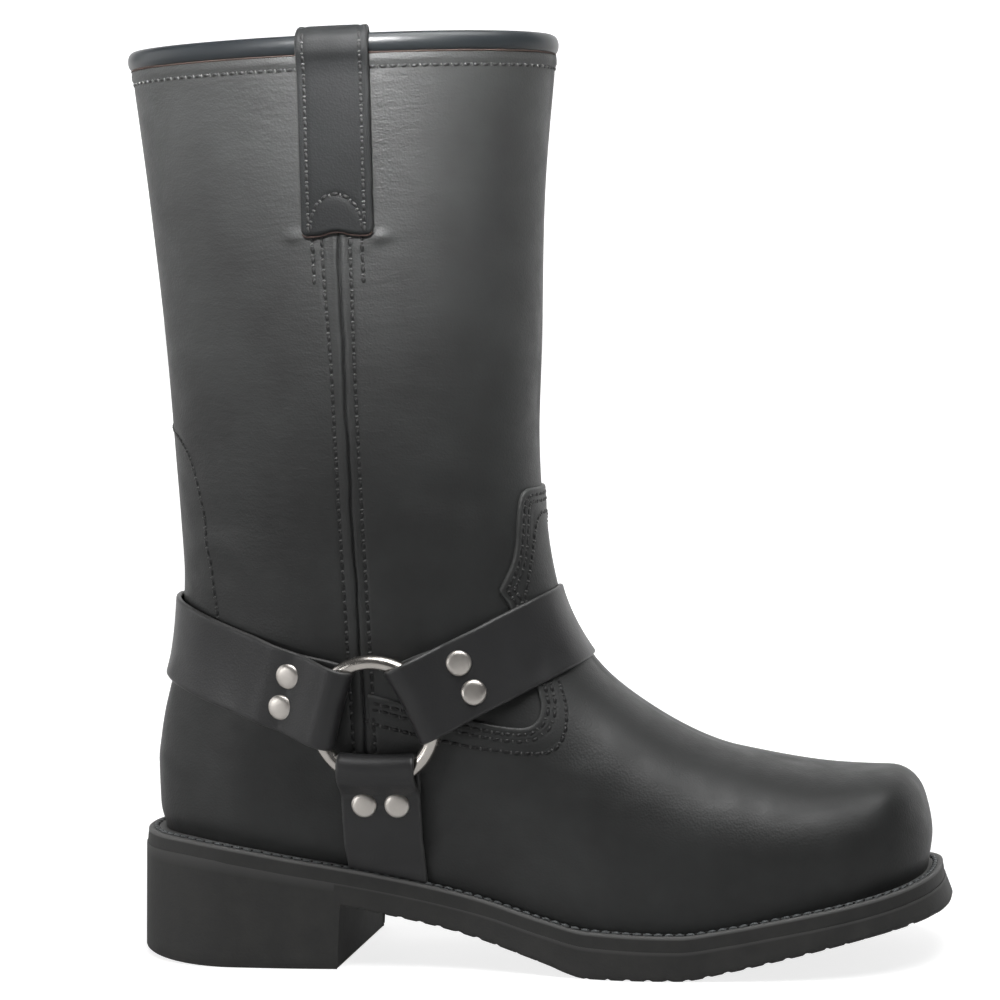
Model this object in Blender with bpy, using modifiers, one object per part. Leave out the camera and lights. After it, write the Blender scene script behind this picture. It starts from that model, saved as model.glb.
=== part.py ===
"""Right biker boot with a harness, built in millimetres and placed in metres.

While it is drawn, x runs forward from behind the heel, y runs from the lateral side (minus) to the
medial side (plus), and z runs up from the floor. The finished boot is moved so that its box is
centred on x and y.
"""
import math

import bpy
import numpy as np
from mathutils import Matrix, Vector

MM = 0.001
X_MIDDLE = 161.0
Y_MIDDLE = 3.8
LATERAL = -1.0
MEDIAL = 1.0
SIDES = {"lateral": LATERAL, "medial": MEDIAL}

# Clearance between neighbouring pieces, and the leather thicknesses
GAP = 0.3
WALL = 2.6
STRAP_THICK = 2.3
INSOLE_THICK = 3.0
WELT_THICK = 6.2

# Stations along the foot where the section widths are given
HEEL_X = 45.0
WAIST_X = 125.0
BALL_X = 215.0

# The forefoot swings to the medial side in front of the heel
SWING_START_X = 70.0
SWING_TOE_X = 320.0
SWING_AT_TOE = 18.0
SWING_POWER = 1.35
SWING_FADE_Z = (100.0, 170.0)

# Side profile of the sole: top of the welt, and underside of the waist and forefoot
SOLE_COLUMNS = ("x", "seat", "tread")
SOLE_PROFILE = np.array([
    (0, 50.0, 30.0),
    (25, 49.5, 29.5),
    (40, 48.0, 29.0),
    (55, 45.6, 28.0),
    (70, 43.0, 27.0),
    (90, 39.7, 24.8),
    (110, 36.0, 21.0),
    (132, 31.3, 16.0),
    (147, 27.8, 12.0),
    (170, 21.5, 5.0),
    (188, 17.8, 0.0),
    (222, 16.8, 0.0),
    (240, 19.2, 3.2),
    (258, 22.6, 7.4),
    (280, 26.6, 12.6),
    (292, 28.8, 15.2),
    (305, 31.4, 17.6),
    (322, 35.6, 20.4),
])

# Heel block: front wall foot and head, and how far the back edge is rolled up
BREAST_FOOT_X = 89.2
BREAST_HEAD_X = 91.2
HEEL_ROLL = 2.4
HEEL_ROLL_X = 48.0
SOLE_EDGE_ROUND = 1.2

# Plan outlines of the bottom pieces: ends, half widths, and how the ends are rounded
OUTLINE_COLUMNS = ("back_x", "front_x", "heel", "waist", "ball", "back_round", "front_round", "front_power")
WELT_TOP = (4.8, 316.6, 36.3, 35.0, 49.8, 44.0, 66.0, 2.5)
WELT_LOW = (4.2, 317.2, 36.5, 35.0, 50.0, 44.0, 66.0, 2.5)
SOLE_TOP = (3.8, 317.6, 36.5, 35.0, 50.2, 44.0, 66.0, 2.5)
SOLE_LOW = (2.0, 320.0, 37.0, 35.6, 51.0, 45.0, 66.0, 2.5)

# One row per section of the upper, from the edge on the welt to the collar.
# back and front give the ends of the section in side view, follow says how far it keeps to the
# curve of the seat, crown lowers its flanks below the ridge, and heel, waist and ball are half widths.
SECTION_COLUMNS = ("back_x", "back_z", "front_x", "front_z", "follow", "crown", "heel", "waist", "ball",
                   "back_round", "front_round", "front_power")
SECTIONS = np.array([
    (12.0, 50.5, 310.0, 33.3, 1.00, 0.0, 30.0, 29.0, 44.0, 42.0, 66.0, 2.4),
    (10.3, 60.0, 311.8, 45.5, 0.85, 0.0, 32.5, 32.0, 46.5, 44.0, 66.0, 2.4),
    (10.2, 76.0, 308.5, 62.5, 0.50, 1.0, 33.5, 34.0, 46.5, 46.0, 66.0, 2.4),
    (11.4, 86.0, 299.5, 70.7, 0.30, 4.0, 34.0, 35.0, 45.0, 48.0, 64.0, 2.3),
    (13.0, 95.0, 273.0, 72.7, 0.15, 6.0, 34.5, 36.0, 42.5, 50.0, 66.0, 2.2),
    (15.8, 106.0, 239.0, 78.3, 0.00, 6.0, 35.0, 37.0, 40.0, 54.0, 80.0, 2.1),
    (19.8, 120.0, 205.5, 94.3, 0.00, 4.0, 36.0, 38.5, 39.0, 58.0, 80.0, 2.1),
    (22.3, 136.0, 183.2, 114.5, 0.00, 2.0, 38.0, 40.0, 40.0, 62.0, 78.0, 2.1),
    (23.7, 154.0, 170.9, 143.0, 0.00, 0.0, 40.5, 42.0, 42.0, 68.0, 76.0, 2.1),
    (23.3, 174.0, 167.6, 170.0, 0.00, 0.0, 43.0, 44.0, 44.0, 71.0, 73.0, 2.1),
    (22.1, 202.0, 166.5, 200.0, 0.00, 0.0, 45.0, 46.0, 46.0, 72.0, 72.0, 2.1),
    (19.9, 245.0, 168.8, 243.0, 0.00, 0.0, 47.0, 48.0, 48.0, 74.0, 74.0, 2.1),
    (16.3, 295.0, 171.9, 295.0, 0.00, 0.0, 49.0, 50.0, 50.0, 77.0, 77.0, 2.1),
    (10.8, 346.0, 177.0, 346.4, 0.00, 0.0, 51.0, 52.0, 52.0, 83.0, 83.0, 2.1),
])
BACK_POWER = 2.1
COLLAR = len(SECTIONS) - 1.0
UPPER_ROWS = 25
UPPER_AROUND = 44
SOLE_STATIONS = 26

# Rolled bead along the collar
BEAD_HEIGHT = 7.4
BEAD_THICK = 5.4
BEAD_AROUND = 40
BEAD_SIDES = 8

# Harness rings, one on each side of the ankle
RING_X = 109.4
RING_Z = 98.2
RING_INSIDE = 40.2
RING_WIRE = 5.6
RING_RADIUS = (RING_INSIDE + RING_WIRE) / 2
RING_SEGMENTS = 32
RING_SIDES = 10
RING_CLEAR = 0.4
RING_LIFT = 6.2

# Straps: angle from the ring in side view, half width, and stations out from the ring's centre
FRONT_ANGLE = 25.0
BACK_ANGLE = 162.0
ANCHOR_ANGLE = 270.0
FRONT_HALF = 15.5
BACK_HALF = 16.0
ANCHOR_HALF = 15.4
FOLD_HALF = RING_WIRE / 2 + RING_CLEAR + 2.2
FOLD_LIP = 3.2
FOLD_LIP_EDGE = 1.6
FOLD_LIFTS = (0.0, 30.0, 60.0, 90.0)
FOLD_NARROW = 0.13
FOLD_NARROW_ENDS = (15.0, 31.0)
STRAP_ACROSS = 5
LOOP_STATIONS = (26.0, 31.0, 36.0, 41.0, 46.0, 52.0)
WRAP_STEPS = 9
LOOP_LIES_FLAT = (24.0, 46.0)
LOOP_DOUBLED = (43.0, 52.0)
STRAP_REST = 0.8
DOUBLED_TOP = STRAP_REST + 4.2
SINGLE_TOP = STRAP_REST + STRAP_THICK
ANCHOR_STATIONS = (25.0, 29.0, 33.0, 37.0, 41.0, 45.0, 49.0, 53.0)
ANCHOR_FOOT = 1.5

# Rivets: distance from the ring's centre, spacing, and the turned profile as radius and height
RIVET_REACH = {"front": 37.0, "back": 37.0, "anchor": 32.0}
RIVET_APART = 6.4
RIVET_PROFILE = ((0.0, 0.0), (4.6, 0.0), (4.8, 0.5), (4.3, 1.3), (3.0, 1.7), (0.0, 2.0))
RIVET_STEPS = 10

# Pull straps: centre line, half width, and the path over the collar.
# Each pair of columns is a distance out from the upper's outer face and a height.
PULL_TOP_X = 104.6
PULL_LOW_X = 103.4
PULL_HALF = 13.4
PULL_LOW_Z = 280.0
PULL_ACROSS = 5
PULL_COLUMNS = ("under_out", "under_z", "over_out", "over_z")
PULL_PATH = (
    (0.4, 280.0, 2.8, 280.0),
    (0.4, 300.0, 2.8, 300.0),
    (0.4, 320.0, 2.8, 320.0),
    (0.4, 338.0, 2.8, 338.5),
    (1.0, 344.0, 3.3, 343.6),
    (1.9, 348.0, 4.4, 348.0),
    (1.7, 351.5, 4.0, 353.0),
    (0.4, 353.8, 1.2, 356.2),
    (-1.3, 354.5, -1.3, 357.0),
    (-3.0, 353.8, -3.8, 356.2),
    (-4.3, 351.5, -6.6, 353.0),
    (-4.5, 348.0, -7.0, 348.0),
    (-3.6, 344.0, -5.9, 343.6),
    (-3.2, 338.0, -5.6, 338.5),
    (-3.2, 318.0, -5.6, 318.0),
    (-3.2, 298.0, -5.6, 298.0),
)

# Colour, roughness and metalness of each material
MATERIALS = {
    "upper_leather": ((0.040, 0.040, 0.039), 0.50, 0.0),
    "strap_leather": ((0.032, 0.033, 0.036), 0.42, 0.0),
    "collar_leather": ((0.028, 0.032, 0.038), 0.32, 0.0),
    "sole_rubber": ((0.040, 0.040, 0.039), 0.72, 0.0),
    "insole_leather": ((0.130, 0.100, 0.075), 0.75, 0.0),
    "nickel": ((0.720, 0.710, 0.690), 0.26, 1.0),
}


def smoothstep(low, high, value):
    """Ease from 0 at low to 1 at high."""
    t = np.clip((np.asarray(value, float) - low) / (high - low), 0.0, 1.0)
    return t * t * (3.0 - 2.0 * t)


def smooth(knots, values, at):
    """Cubic through the knots whose slopes are limited so that it never overshoots them."""
    knots = np.asarray(knots, float)
    values = np.asarray(values, float).reshape(len(knots), -1)
    at = np.atleast_1d(np.asarray(at, float))
    step = np.diff(knots)[:, None]
    rate = np.diff(values, axis=0) / step
    same_way = rate[:-1] * rate[1:] > 0.0
    total = np.where(same_way, rate[:-1] + rate[1:], 1.0)
    slope = np.vstack([rate[:1], np.where(same_way, 2.0 * rate[:-1] * rate[1:] / total, 0.0), rate[-1:]])
    index = np.clip(np.searchsorted(knots, at, side="right") - 1, 0, len(knots) - 2)
    width = step[index]
    t = (at - knots[index])[:, None] / width
    return ((1 + 2 * t) * (1 - t) ** 2 * values[index] + t * (1 - t) ** 2 * width * slope[index]
            + t * t * (3 - 2 * t) * values[index + 1] + t * t * (t - 1) * width * slope[index + 1])


def seat(x):
    """Height of the top of the welt."""
    return smooth(SOLE_PROFILE[:, 0], SOLE_PROFILE[:, 1], x)[:, 0]


def tread(x):
    """Height of the underside of the waist and forefoot."""
    return smooth(SOLE_PROFILE[:, 0], SOLE_PROFILE[:, 2], x)[:, 0]


def swing(x, z):
    """How far the middle of the foot has swung to the medial side."""
    forward = np.clip((x - SWING_START_X) / (SWING_TOE_X - SWING_START_X), 0.0, None) ** SWING_POWER
    return SWING_AT_TOE * forward * (1.0 - smoothstep(*SWING_FADE_Z, z))


def half_width(x, size):
    """Half width of a plan outline, and the share of it that the rounding of the front leaves."""
    wide = (size["heel"] + (size["waist"] - size["heel"]) * smoothstep(HEEL_X, WAIST_X, x)
            + (size["ball"] - size["waist"]) * smoothstep(WAIST_X, BALL_X, x))
    from_back = np.clip((x - size["back_x"]) / size["back_round"], 0.0, 1.0)
    from_front = np.clip((size["front_x"] - x) / size["front_round"], 0.0, 1.0)
    back = (1.0 - (1.0 - from_back) ** BACK_POWER) ** (1.0 / BACK_POWER)
    front = (1.0 - (1.0 - from_front) ** size["front_power"]) ** (1.0 / size["front_power"])
    return wide * back * front, front


def upper_surface(row, along, side):
    """Points on the outer face of the upper: section row, share of the way forward, and side."""
    row, along, side = np.broadcast_arrays(row, along, side)
    shape = row.shape
    size = dict(zip(SECTION_COLUMNS, smooth(np.arange(len(SECTIONS)), SECTIONS, row.ravel()).T))
    along = along.ravel().astype(float)
    x = size["back_x"] + (size["front_x"] - size["back_x"]) * along
    width, front = half_width(x, size)
    first = dict(zip(SECTION_COLUMNS, SECTIONS[0]))
    ends = seat([first["back_x"], first["front_x"]])
    chord = ends[0] + (ends[1] - ends[0]) * (x - first["back_x"]) / (first["front_x"] - first["back_x"])
    z = (size["back_z"] + (size["front_z"] - size["back_z"]) * along + size["follow"] * (seat(x) - chord)
         - size["crown"] * front ** 2 * np.clip(2.0 * along, 0.0, 1.0) ** 2)
    y = side.ravel() * width + swing(x, z)
    return np.stack([x, y, z], axis=1).reshape(shape + (3,))


def upper_at(x, z, side):
    """Point on the outer face of the upper that shows at x, z in side view."""
    x, z, side = np.broadcast_arrays(np.asarray(x, float), np.asarray(z, float), side)
    low = np.zeros(x.size)
    high = np.full(x.size, COLLAR)
    for _ in range(40):
        row = (low + high) / 2
        size = dict(zip(SECTION_COLUMNS, smooth(np.arange(len(SECTIONS)), SECTIONS, row).T))
        along = np.clip((x.ravel() - size["back_x"]) / (size["front_x"] - size["back_x"]), 0.0, 1.0)
        below = upper_surface(row, along, side.ravel())[:, 2] < z.ravel()
        low = np.where(below, row, low)
        high = np.where(below, high, row)
    return upper_surface(row, along, side.ravel()).reshape(x.shape + (3,))


def profile_x(z, end):
    """Where the back or the front of the upper is at a height, in side view."""
    rows = np.linspace(0.0, COLLAR, 400)
    size = dict(zip(SECTION_COLUMNS, smooth(np.arange(len(SECTIONS)), SECTIONS, rows).T))
    return np.interp(z, size[end + "_z"], size[end + "_x"])


def outline(sizes, count, height):
    """Closed plan outline: back, lateral side, front, medial side. Height is a function of x."""
    size = dict(zip(OUTLINE_COLUMNS, sizes))
    turn = np.linspace(0.0, math.pi, count)
    x = size["back_x"] + (size["front_x"] - size["back_x"]) * (1.0 - np.cos(turn)) / 2
    x = np.sort(np.append(x[np.abs(x - (BREAST_FOOT_X + BREAST_HEAD_X) / 2) > 3.0],
                          [BREAST_FOOT_X, BREAST_HEAD_X]))
    width = half_width(x, size)[0]
    middle = swing(x, 0.0)
    z = height(x)
    lateral = np.stack([x, middle - width, z], axis=1)
    medial = np.stack([x, middle + width, z], axis=1)
    return np.vstack([lateral, medial[-2:0:-1]])


def underside(x):
    """Bottom of the moulded sole: the heel's floor behind the breast, the tread in front of it."""
    rolled = HEEL_ROLL * np.clip((HEEL_ROLL_X - x) / HEEL_ROLL_X, 0.0, 1.0) ** 2
    return np.where(x <= BREAST_FOOT_X, rolled, tread(x))


def add_object(name, vertices, faces, material):
    """Mesh object from points in millimetres, with coincident points welded and faces turned outward."""
    mesh = bpy.data.meshes.new(name)
    moved = (np.asarray(vertices, float) - (X_MIDDLE, Y_MIDDLE, 0.0)) * MM
    mesh.from_pydata(moved.tolist(), [], faces)
    obj = bpy.data.objects.new(name, mesh)
    boot.objects.link(obj)
    bpy.context.view_layer.objects.active = obj
    obj.select_set(True)
    bpy.ops.object.mode_set(mode="EDIT")
    bpy.ops.mesh.select_all(action="SELECT")
    bpy.ops.mesh.remove_doubles(threshold=0.00001)
    bpy.ops.mesh.normals_make_consistent(inside=False)
    bpy.ops.object.mode_set(mode="OBJECT")
    obj.select_set(False)
    mesh.materials.append(materials[material])
    return obj


def stacked(rings):
    """Vertices and faces of a solid with flat strips across its first and last closed outlines."""
    count = len(rings[0])
    vertices = np.vstack(rings)
    faces = []
    for level in range(len(rings) - 1):
        for k in range(count):
            here = level * count + k
            there = level * count + (k + 1) % count
            faces.append((here, there, there + count, here + count))
    for start in (0, (len(rings) - 1) * count):
        for k in range(count // 2):
            strip = (start + k, start + k + 1, start + count - k - 1, start + (count - k) % count)
            faces.append(tuple(dict.fromkeys(strip)))
    return vertices, faces


def between(under, over):
    """Vertices and faces of a solid between two grids of points."""
    rows, columns = under.shape[:2]
    vertices = np.vstack([under.reshape(-1, 3), over.reshape(-1, 3)])
    shift = rows * columns
    faces = []
    for i in range(rows - 1):
        for j in range(columns - 1):
            a = i * columns + j
            quad = (a, a + 1, a + columns + 1, a + columns)
            faces.append(quad)
            faces.append(tuple(k + shift for k in reversed(quad)))
    border = ([(0, j) for j in range(columns - 1)] + [(i, columns - 1) for i in range(rows - 1)]
              + [(rows - 1, j) for j in range(columns - 1, 0, -1)] + [(i, 0) for i in range(rows - 1, 0, -1)])
    loop = [i * columns + j for i, j in border]
    for k, a in enumerate(loop):
        b = loop[(k + 1) % len(loop)]
        faces.append((b, a, a + shift, b + shift))
    return vertices, faces


def build_upper():
    """Outer face lofted through the sections, with the wall added inward."""
    rows = np.linspace(0.0, COLLAR, UPPER_ROWS)
    turn = np.arange(UPPER_AROUND) * 2 * math.pi / UPPER_AROUND
    along = (1.0 - np.cos(turn)) / 2
    side = np.where(turn <= math.pi, LATERAL, MEDIAL)
    points = upper_surface(rows[:, None], along[None, :], side[None, :])
    faces = []
    for i in range(UPPER_ROWS - 1):
        for j in range(UPPER_AROUND):
            a = i * UPPER_AROUND + j
            b = i * UPPER_AROUND + (j + 1) % UPPER_AROUND
            faces.append((a, b, b + UPPER_AROUND, a + UPPER_AROUND))
    upper = add_object("upper", points.reshape(-1, 3), faces, "upper_leather")
    wall = upper.modifiers.new("wall", "SOLIDIFY")
    wall.thickness = WALL * MM
    wall.offset = -1.0
    wall.use_even_offset = True
    return upper


def build_bottom():
    """Insole inside the upper, welt plate under it, and the sole moulded in one with its heel."""
    first = dict(zip(SECTION_COLUMNS, SECTIONS[0]))
    inset = WALL + 1.4
    sizes = (first["back_x"] + inset, first["front_x"] - inset, first["heel"] - inset, first["waist"] - inset,
             first["ball"] - inset, first["back_round"] - inset, first["front_round"] - inset, first["front_power"])
    low = outline(sizes, SOLE_STATIONS, lambda x: seat(x) + GAP)
    high = outline(sizes, SOLE_STATIONS, lambda x: seat(x) + GAP + INSOLE_THICK)
    add_object("insole", *stacked([low, high]), "insole_leather")

    top = outline(WELT_TOP, SOLE_STATIONS, seat)
    low = outline(WELT_LOW, SOLE_STATIONS, lambda x: seat(x) - WELT_THICK)
    add_object("welt", *stacked([low, top]), "sole_rubber")

    inner = list(SOLE_LOW)
    inner[0] += SOLE_EDGE_ROUND
    inner[1] -= SOLE_EDGE_ROUND
    for k in (2, 3, 4):
        inner[k] -= SOLE_EDGE_ROUND
    top = outline(SOLE_TOP, SOLE_STATIONS, lambda x: seat(x) - WELT_THICK - GAP)
    edge = outline(SOLE_LOW, SOLE_STATIONS, lambda x: underside(x) + SOLE_EDGE_ROUND)
    floor = outline(inner, SOLE_STATIONS, underside)
    add_object("outsole", *stacked([floor, edge, top]), "sole_rubber")


def build_bead():
    """Bead that sits on the upper's top edge, an oval section carried round the collar."""
    turn = np.arange(BEAD_AROUND) * 2 * math.pi / BEAD_AROUND
    along = (1.0 - np.cos(turn)) / 2
    side = np.where(turn <= math.pi, LATERAL, MEDIAL)
    rim = upper_surface(COLLAR, along, side)
    ahead = np.roll(rim, -1, axis=0) - np.roll(rim, 1, axis=0)
    outward = np.stack([-ahead[:, 1], ahead[:, 0], np.zeros(BEAD_AROUND)], axis=1)
    outward /= np.linalg.norm(outward, axis=1)[:, None]
    middle = rim - outward * np.sign((outward * (rim - rim.mean(axis=0))).sum(axis=1))[:, None] * WALL / 2
    middle[:, 2] += GAP + BEAD_HEIGHT / 2
    vertices = []
    faces = []
    for k in range(BEAD_AROUND):
        for m in range(BEAD_SIDES):
            angle = 2 * math.pi * (m + 0.5) / BEAD_SIDES
            vertices.append(middle[k] + outward[k] * math.cos(angle) * BEAD_THICK / 2
                            + np.array([0.0, 0.0, math.sin(angle) * BEAD_HEIGHT / 2]))
            after = (k + 1) % BEAD_AROUND
            turned = (m + 1) % BEAD_SIDES
            faces.append((k * BEAD_SIDES + m, after * BEAD_SIDES + m,
                          after * BEAD_SIDES + turned, k * BEAD_SIDES + turned))
    add_object("collar_bead", vertices, faces, "collar_leather")


def outward_normal(right, up, side):
    """Unit normals of a face from its two directions, turned away from the foot."""
    normal = np.cross(right, up)
    normal /= np.linalg.norm(normal, axis=-1)[..., None]
    return normal * np.where(normal[..., 1:2] * side < 0.0, -1.0, 1.0)


def build_pull(name, side):
    """Strap that is folded over the collar, outside face to inside face."""
    across = np.linspace(-PULL_HALF, PULL_HALF, PULL_ACROSS)
    rim = SECTIONS[-1][SECTION_COLUMNS.index("back_z")]
    grids = {"under": [], "over": []}
    for row in PULL_PATH:
        place = dict(zip(PULL_COLUMNS, row))
        for layer, grid in grids.items():
            z = place[layer + "_z"]
            share = (z - PULL_LOW_Z) / (rim - PULL_LOW_Z)
            x = PULL_LOW_X + (PULL_TOP_X - PULL_LOW_X) * share + across
            held = min(z, rim - 0.5)
            base = upper_at(x, held, side)
            right = upper_at(x + 1.0, held, side) - upper_at(x - 1.0, held, side)
            out = outward_normal(right, np.array([0.0, 0.0, 1.0]), side)
            grid.append(base + out * place[layer + "_out"] + np.array([0.0, 0.0, z - held]))
    add_object(name, *between(np.array(grids["under"]), np.array(grids["over"])), "strap_leather")


def ring_frame(side):
    """Centre and outward normal of the ring on one side."""
    right = upper_at(RING_X + 6.0, RING_Z, side) - upper_at(RING_X - 6.0, RING_Z, side)
    up = upper_at(RING_X, RING_Z + 6.0, side) - upper_at(RING_X, RING_Z - 6.0, side)
    normal = outward_normal(right, up, side)
    return upper_at(RING_X, RING_Z, side) + normal * RING_LIFT, normal


def in_side_view(centre, angle, u, w):
    """Side-view position u out from the ring's centre at an angle, and w across."""
    cos, sin = math.cos(math.radians(angle)), math.sin(math.radians(angle))
    return centre[0] + u * cos - w * sin, centre[2] + u * sin + w * cos


def strap_layer(side, angle, u, w, fold, height):
    """Points of one face of a strap: in the ring's plane near the ring, lying on the upper beyond it."""
    centre, normal = ring_frame(side)
    x, z = in_side_view(centre, angle, u, w)
    forward = np.array([1.0, -normal[0] / normal[1], 0.0])
    upward = np.array([0.0, -normal[2] / normal[1], 1.0])
    flat = (centre + (x - centre[0])[..., None] * forward + (z - centre[2])[..., None] * upward
            + fold[..., None] * normal)
    base = upper_at(x, z, side)
    over = np.gradient(base, axis=0)
    across = np.gradient(base, axis=1)
    away = np.cross(over, across)
    away /= np.linalg.norm(away, axis=-1)[..., None]
    away *= np.sign((away[0] * normal).sum(axis=-1).mean())
    lies = smoothstep(*LOOP_LIES_FLAT, u)[..., None]
    return flat * (1.0 - lies) + (base + away * height[..., None]) * lies


def fold_stations(across, half):
    """Stations round the fold that holds the ring, and the half thickness of the fold at each."""
    inner = np.sqrt((RING_RADIUS - RING_WIRE / 2 - RING_CLEAR) ** 2 - across ** 2)
    lip = FOLD_LIP + (FOLD_LIP_EDGE - FOLD_LIP) * (across / half) ** 2
    full = np.sqrt(RING_RADIUS ** 2 - across ** 2)
    lifts = np.radians(FOLD_LIFTS)[:, None]
    return full - (full - inner + lip) * np.cos(lifts), FOLD_HALF * np.sin(lifts) + 0.0 * across


def strap_half(side, angle, half, stations, last):
    """Under and over faces of a strap from its fold at the ring to its last station."""
    across = np.linspace(-half, half, STRAP_ACROSS)
    nose, thick = fold_stations(across * (1.0 - FOLD_NARROW), half)
    body = np.array(stations)[:, None] + 0.0 * across
    u = np.vstack([nose, body, last])
    fold = np.vstack([thick, np.full(body.shape, FOLD_HALF), np.full(last.shape, FOLD_HALF)])
    top = DOUBLED_TOP + (SINGLE_TOP - DOUBLED_TOP) * smoothstep(*LOOP_DOUBLED, u)
    middle = u[:, STRAP_ACROSS // 2]
    w = np.outer(1.0 - FOLD_NARROW * (1.0 - smoothstep(*FOLD_NARROW_ENDS, middle)), across)
    under = strap_layer(side, angle, u, w, -fold, np.full(u.shape, STRAP_REST))
    over = strap_layer(side, angle, u, w, fold, top)
    return under, over


def wrap_stations(angle, half, end):
    """Stations from the last loop station to the back or front of the upper, closing up as they arrive."""
    across = np.linspace(-half, half, STRAP_ACROSS)
    centre = ring_frame(LATERAL)[0]
    low = np.full(across.shape, LOOP_STATIONS[-1])
    high = np.full(across.shape, 140.0)
    for _ in range(40):
        reach = (low + high) / 2
        x, z = in_side_view(centre, angle, reach, across)
        inside = (x - profile_x(z, end)) * (1.0 if end == "back" else -1.0) > 0.0
        low = np.where(inside, reach, low)
        high = np.where(inside, high, reach)
    left = (1.0 - np.arange(1, WRAP_STEPS + 1)[:, None] / WRAP_STEPS) ** 2
    return reach - (reach - LOOP_STATIONS[-1]) * left


def cut_ring_way(strap, sides):
    """Take the ring's way through its fold out of a strap."""
    for side in sides:
        cut = strap.modifiers.new("ring way", "BOOLEAN")
        cut.operation = "DIFFERENCE"
        cut.solver = "EXACT"
        cut.object = ring_ways[side]


def build_wrap(name, angle, half, end):
    """Strap from the lateral ring round the front or back of the boot to the medial ring."""
    last = wrap_stations(angle, half, end)
    grids = [strap_half(side, angle, half, LOOP_STATIONS, last) for side in (LATERAL, MEDIAL)]
    joined = []
    for layer in (0, 1):
        lateral, medial = grids[0][layer], grids[1][layer]
        middle = (lateral[-1] + medial[-1]) / 2
        joined.append(np.concatenate([lateral[:-1], middle[None], medial[-2::-1]]))
    strap = add_object(name, *between(*joined), "strap_leather")
    cut_ring_way(strap, (LATERAL, MEDIAL))


def build_anchor(name, side):
    """Strap from a ring down to the welt."""
    across = np.linspace(-ANCHOR_HALF, ANCHOR_HALF, STRAP_ACROSS)
    centre = ring_frame(side)[0]
    x = in_side_view(centre, ANCHOR_ANGLE, 0.0, across)[0]
    last = (centre[2] - seat(x) - ANCHOR_FOOT)[None]
    strap = add_object(name, *between(*strap_half(side, ANCHOR_ANGLE, ANCHOR_HALF, ANCHOR_STATIONS, last)),
                       "strap_leather")
    cut_ring_way(strap, (side,))


def facing(centre, normal):
    """Placement that puts the local origin at a point in millimetres with local Z along a normal."""
    turn = Vector(normal).to_track_quat("Z", "Y").to_matrix().to_4x4()
    return Matrix.Translation((Vector(centre) - Vector((X_MIDDLE, Y_MIDDLE, 0.0))) * MM) @ turn


def add_torus(name, side, wire, collection):
    """Ring of round wire in the plane of one side's harness ring."""
    bpy.ops.mesh.primitive_torus_add(major_radius=RING_RADIUS * MM, minor_radius=wire / 2 * MM,
                                     major_segments=RING_SEGMENTS, minor_segments=RING_SIDES)
    torus = bpy.context.object
    torus.name = name
    for linked in list(torus.users_collection):
        linked.objects.unlink(torus)
    collection.objects.link(torus)
    torus.data.transform(facing(*ring_frame(side)))
    torus.select_set(False)
    return torus


def build_ring(name, side):
    """Plain ring that turns in the folds of the three straps."""
    ring = add_torus(name, side, RING_WIRE, boot)
    ring.data.materials.append(materials["nickel"])


def build_rivet(name, side, angle, reach, w):
    """Turned rivet head on the outside of a strap."""
    u = np.array([[reach - 2.0] * 3, [reach] * 3, [reach + 2.0] * 3])
    across = np.array([[w - 2.0, w, w + 2.0]] * 3)
    patch = strap_layer(side, angle, u, across, np.full(u.shape, FOLD_HALF), np.full(u.shape, DOUBLED_TOP))
    normal = outward_normal(patch[2, 1] - patch[0, 1], patch[1, 2] - patch[1, 0], side)
    mesh = bpy.data.meshes.new(name)
    edges = [(k, k + 1) for k in range(len(RIVET_PROFILE) - 1)]
    mesh.from_pydata([(radius * MM, 0.0, height * MM) for radius, height in RIVET_PROFILE], edges, [])
    rivet = bpy.data.objects.new(name, mesh)
    boot.objects.link(rivet)
    turned = rivet.modifiers.new("turned", "SCREW")
    turned.steps = RIVET_STEPS
    turned.render_steps = RIVET_STEPS
    turned.use_merge_vertices = True
    turned.merge_threshold = 0.00001
    turned.use_normal_calculate = True
    rivet.matrix_world = facing(patch[1, 1] + normal * GAP, normal)
    mesh.materials.append(materials["nickel"])


for old in list(bpy.data.objects):
    bpy.data.objects.remove(old, do_unlink=True)

boot = bpy.data.collections.new("biker_boot")
cutters = bpy.data.collections.new("cutters")
for group in (boot, cutters):
    bpy.context.scene.collection.children.link(group)

materials = {}
for label, (colour, roughness, metalness) in MATERIALS.items():
    made = bpy.data.materials.new(label)
    made.use_nodes = True
    shader = made.node_tree.nodes["Principled BSDF"]
    shader.inputs["Base Color"].default_value = (*colour, 1.0)
    shader.inputs["Roughness"].default_value = roughness
    shader.inputs["Metallic"].default_value = metalness
    materials[label] = made

ring_ways = {}
for label, side in SIDES.items():
    ring_ways[side] = add_torus("ring_way_" + label, side, RING_WIRE + 2 * RING_CLEAR, cutters)
    ring_ways[side].hide_render = True
    ring_ways[side].display_type = "WIRE"

build_upper()
build_bottom()
build_bead()
build_wrap("strap_front", FRONT_ANGLE, FRONT_HALF, "front")
build_wrap("strap_back", BACK_ANGLE, BACK_HALF, "back")
for label, side in SIDES.items():
    build_anchor("strap_anchor_" + label, side)
    build_pull("pull_strap_" + label, side)
    build_ring("ring_" + label, side)
    for strap, angle in (("front", FRONT_ANGLE), ("back", BACK_ANGLE), ("anchor", ANCHOR_ANGLE)):
        for number, w in ((1, RIVET_APART), (2, -RIVET_APART)):
            build_rivet(f"rivet_{strap}_{label}_{number}", side, angle, RIVET_REACH[strap], w)
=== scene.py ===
"""Looks of the right biker boot: leather, stitching, harness and moulded sole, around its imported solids.

Shapes are drawn in the part's own millimetres: x runs forward from behind the heel, y from the lateral
side (minus) to the medial side (plus), and z up from the floor. add_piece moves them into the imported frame.
"""
import math

import bmesh
import bpy
import numpy as np
from mathutils import Matrix, Vector, kdtree


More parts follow.
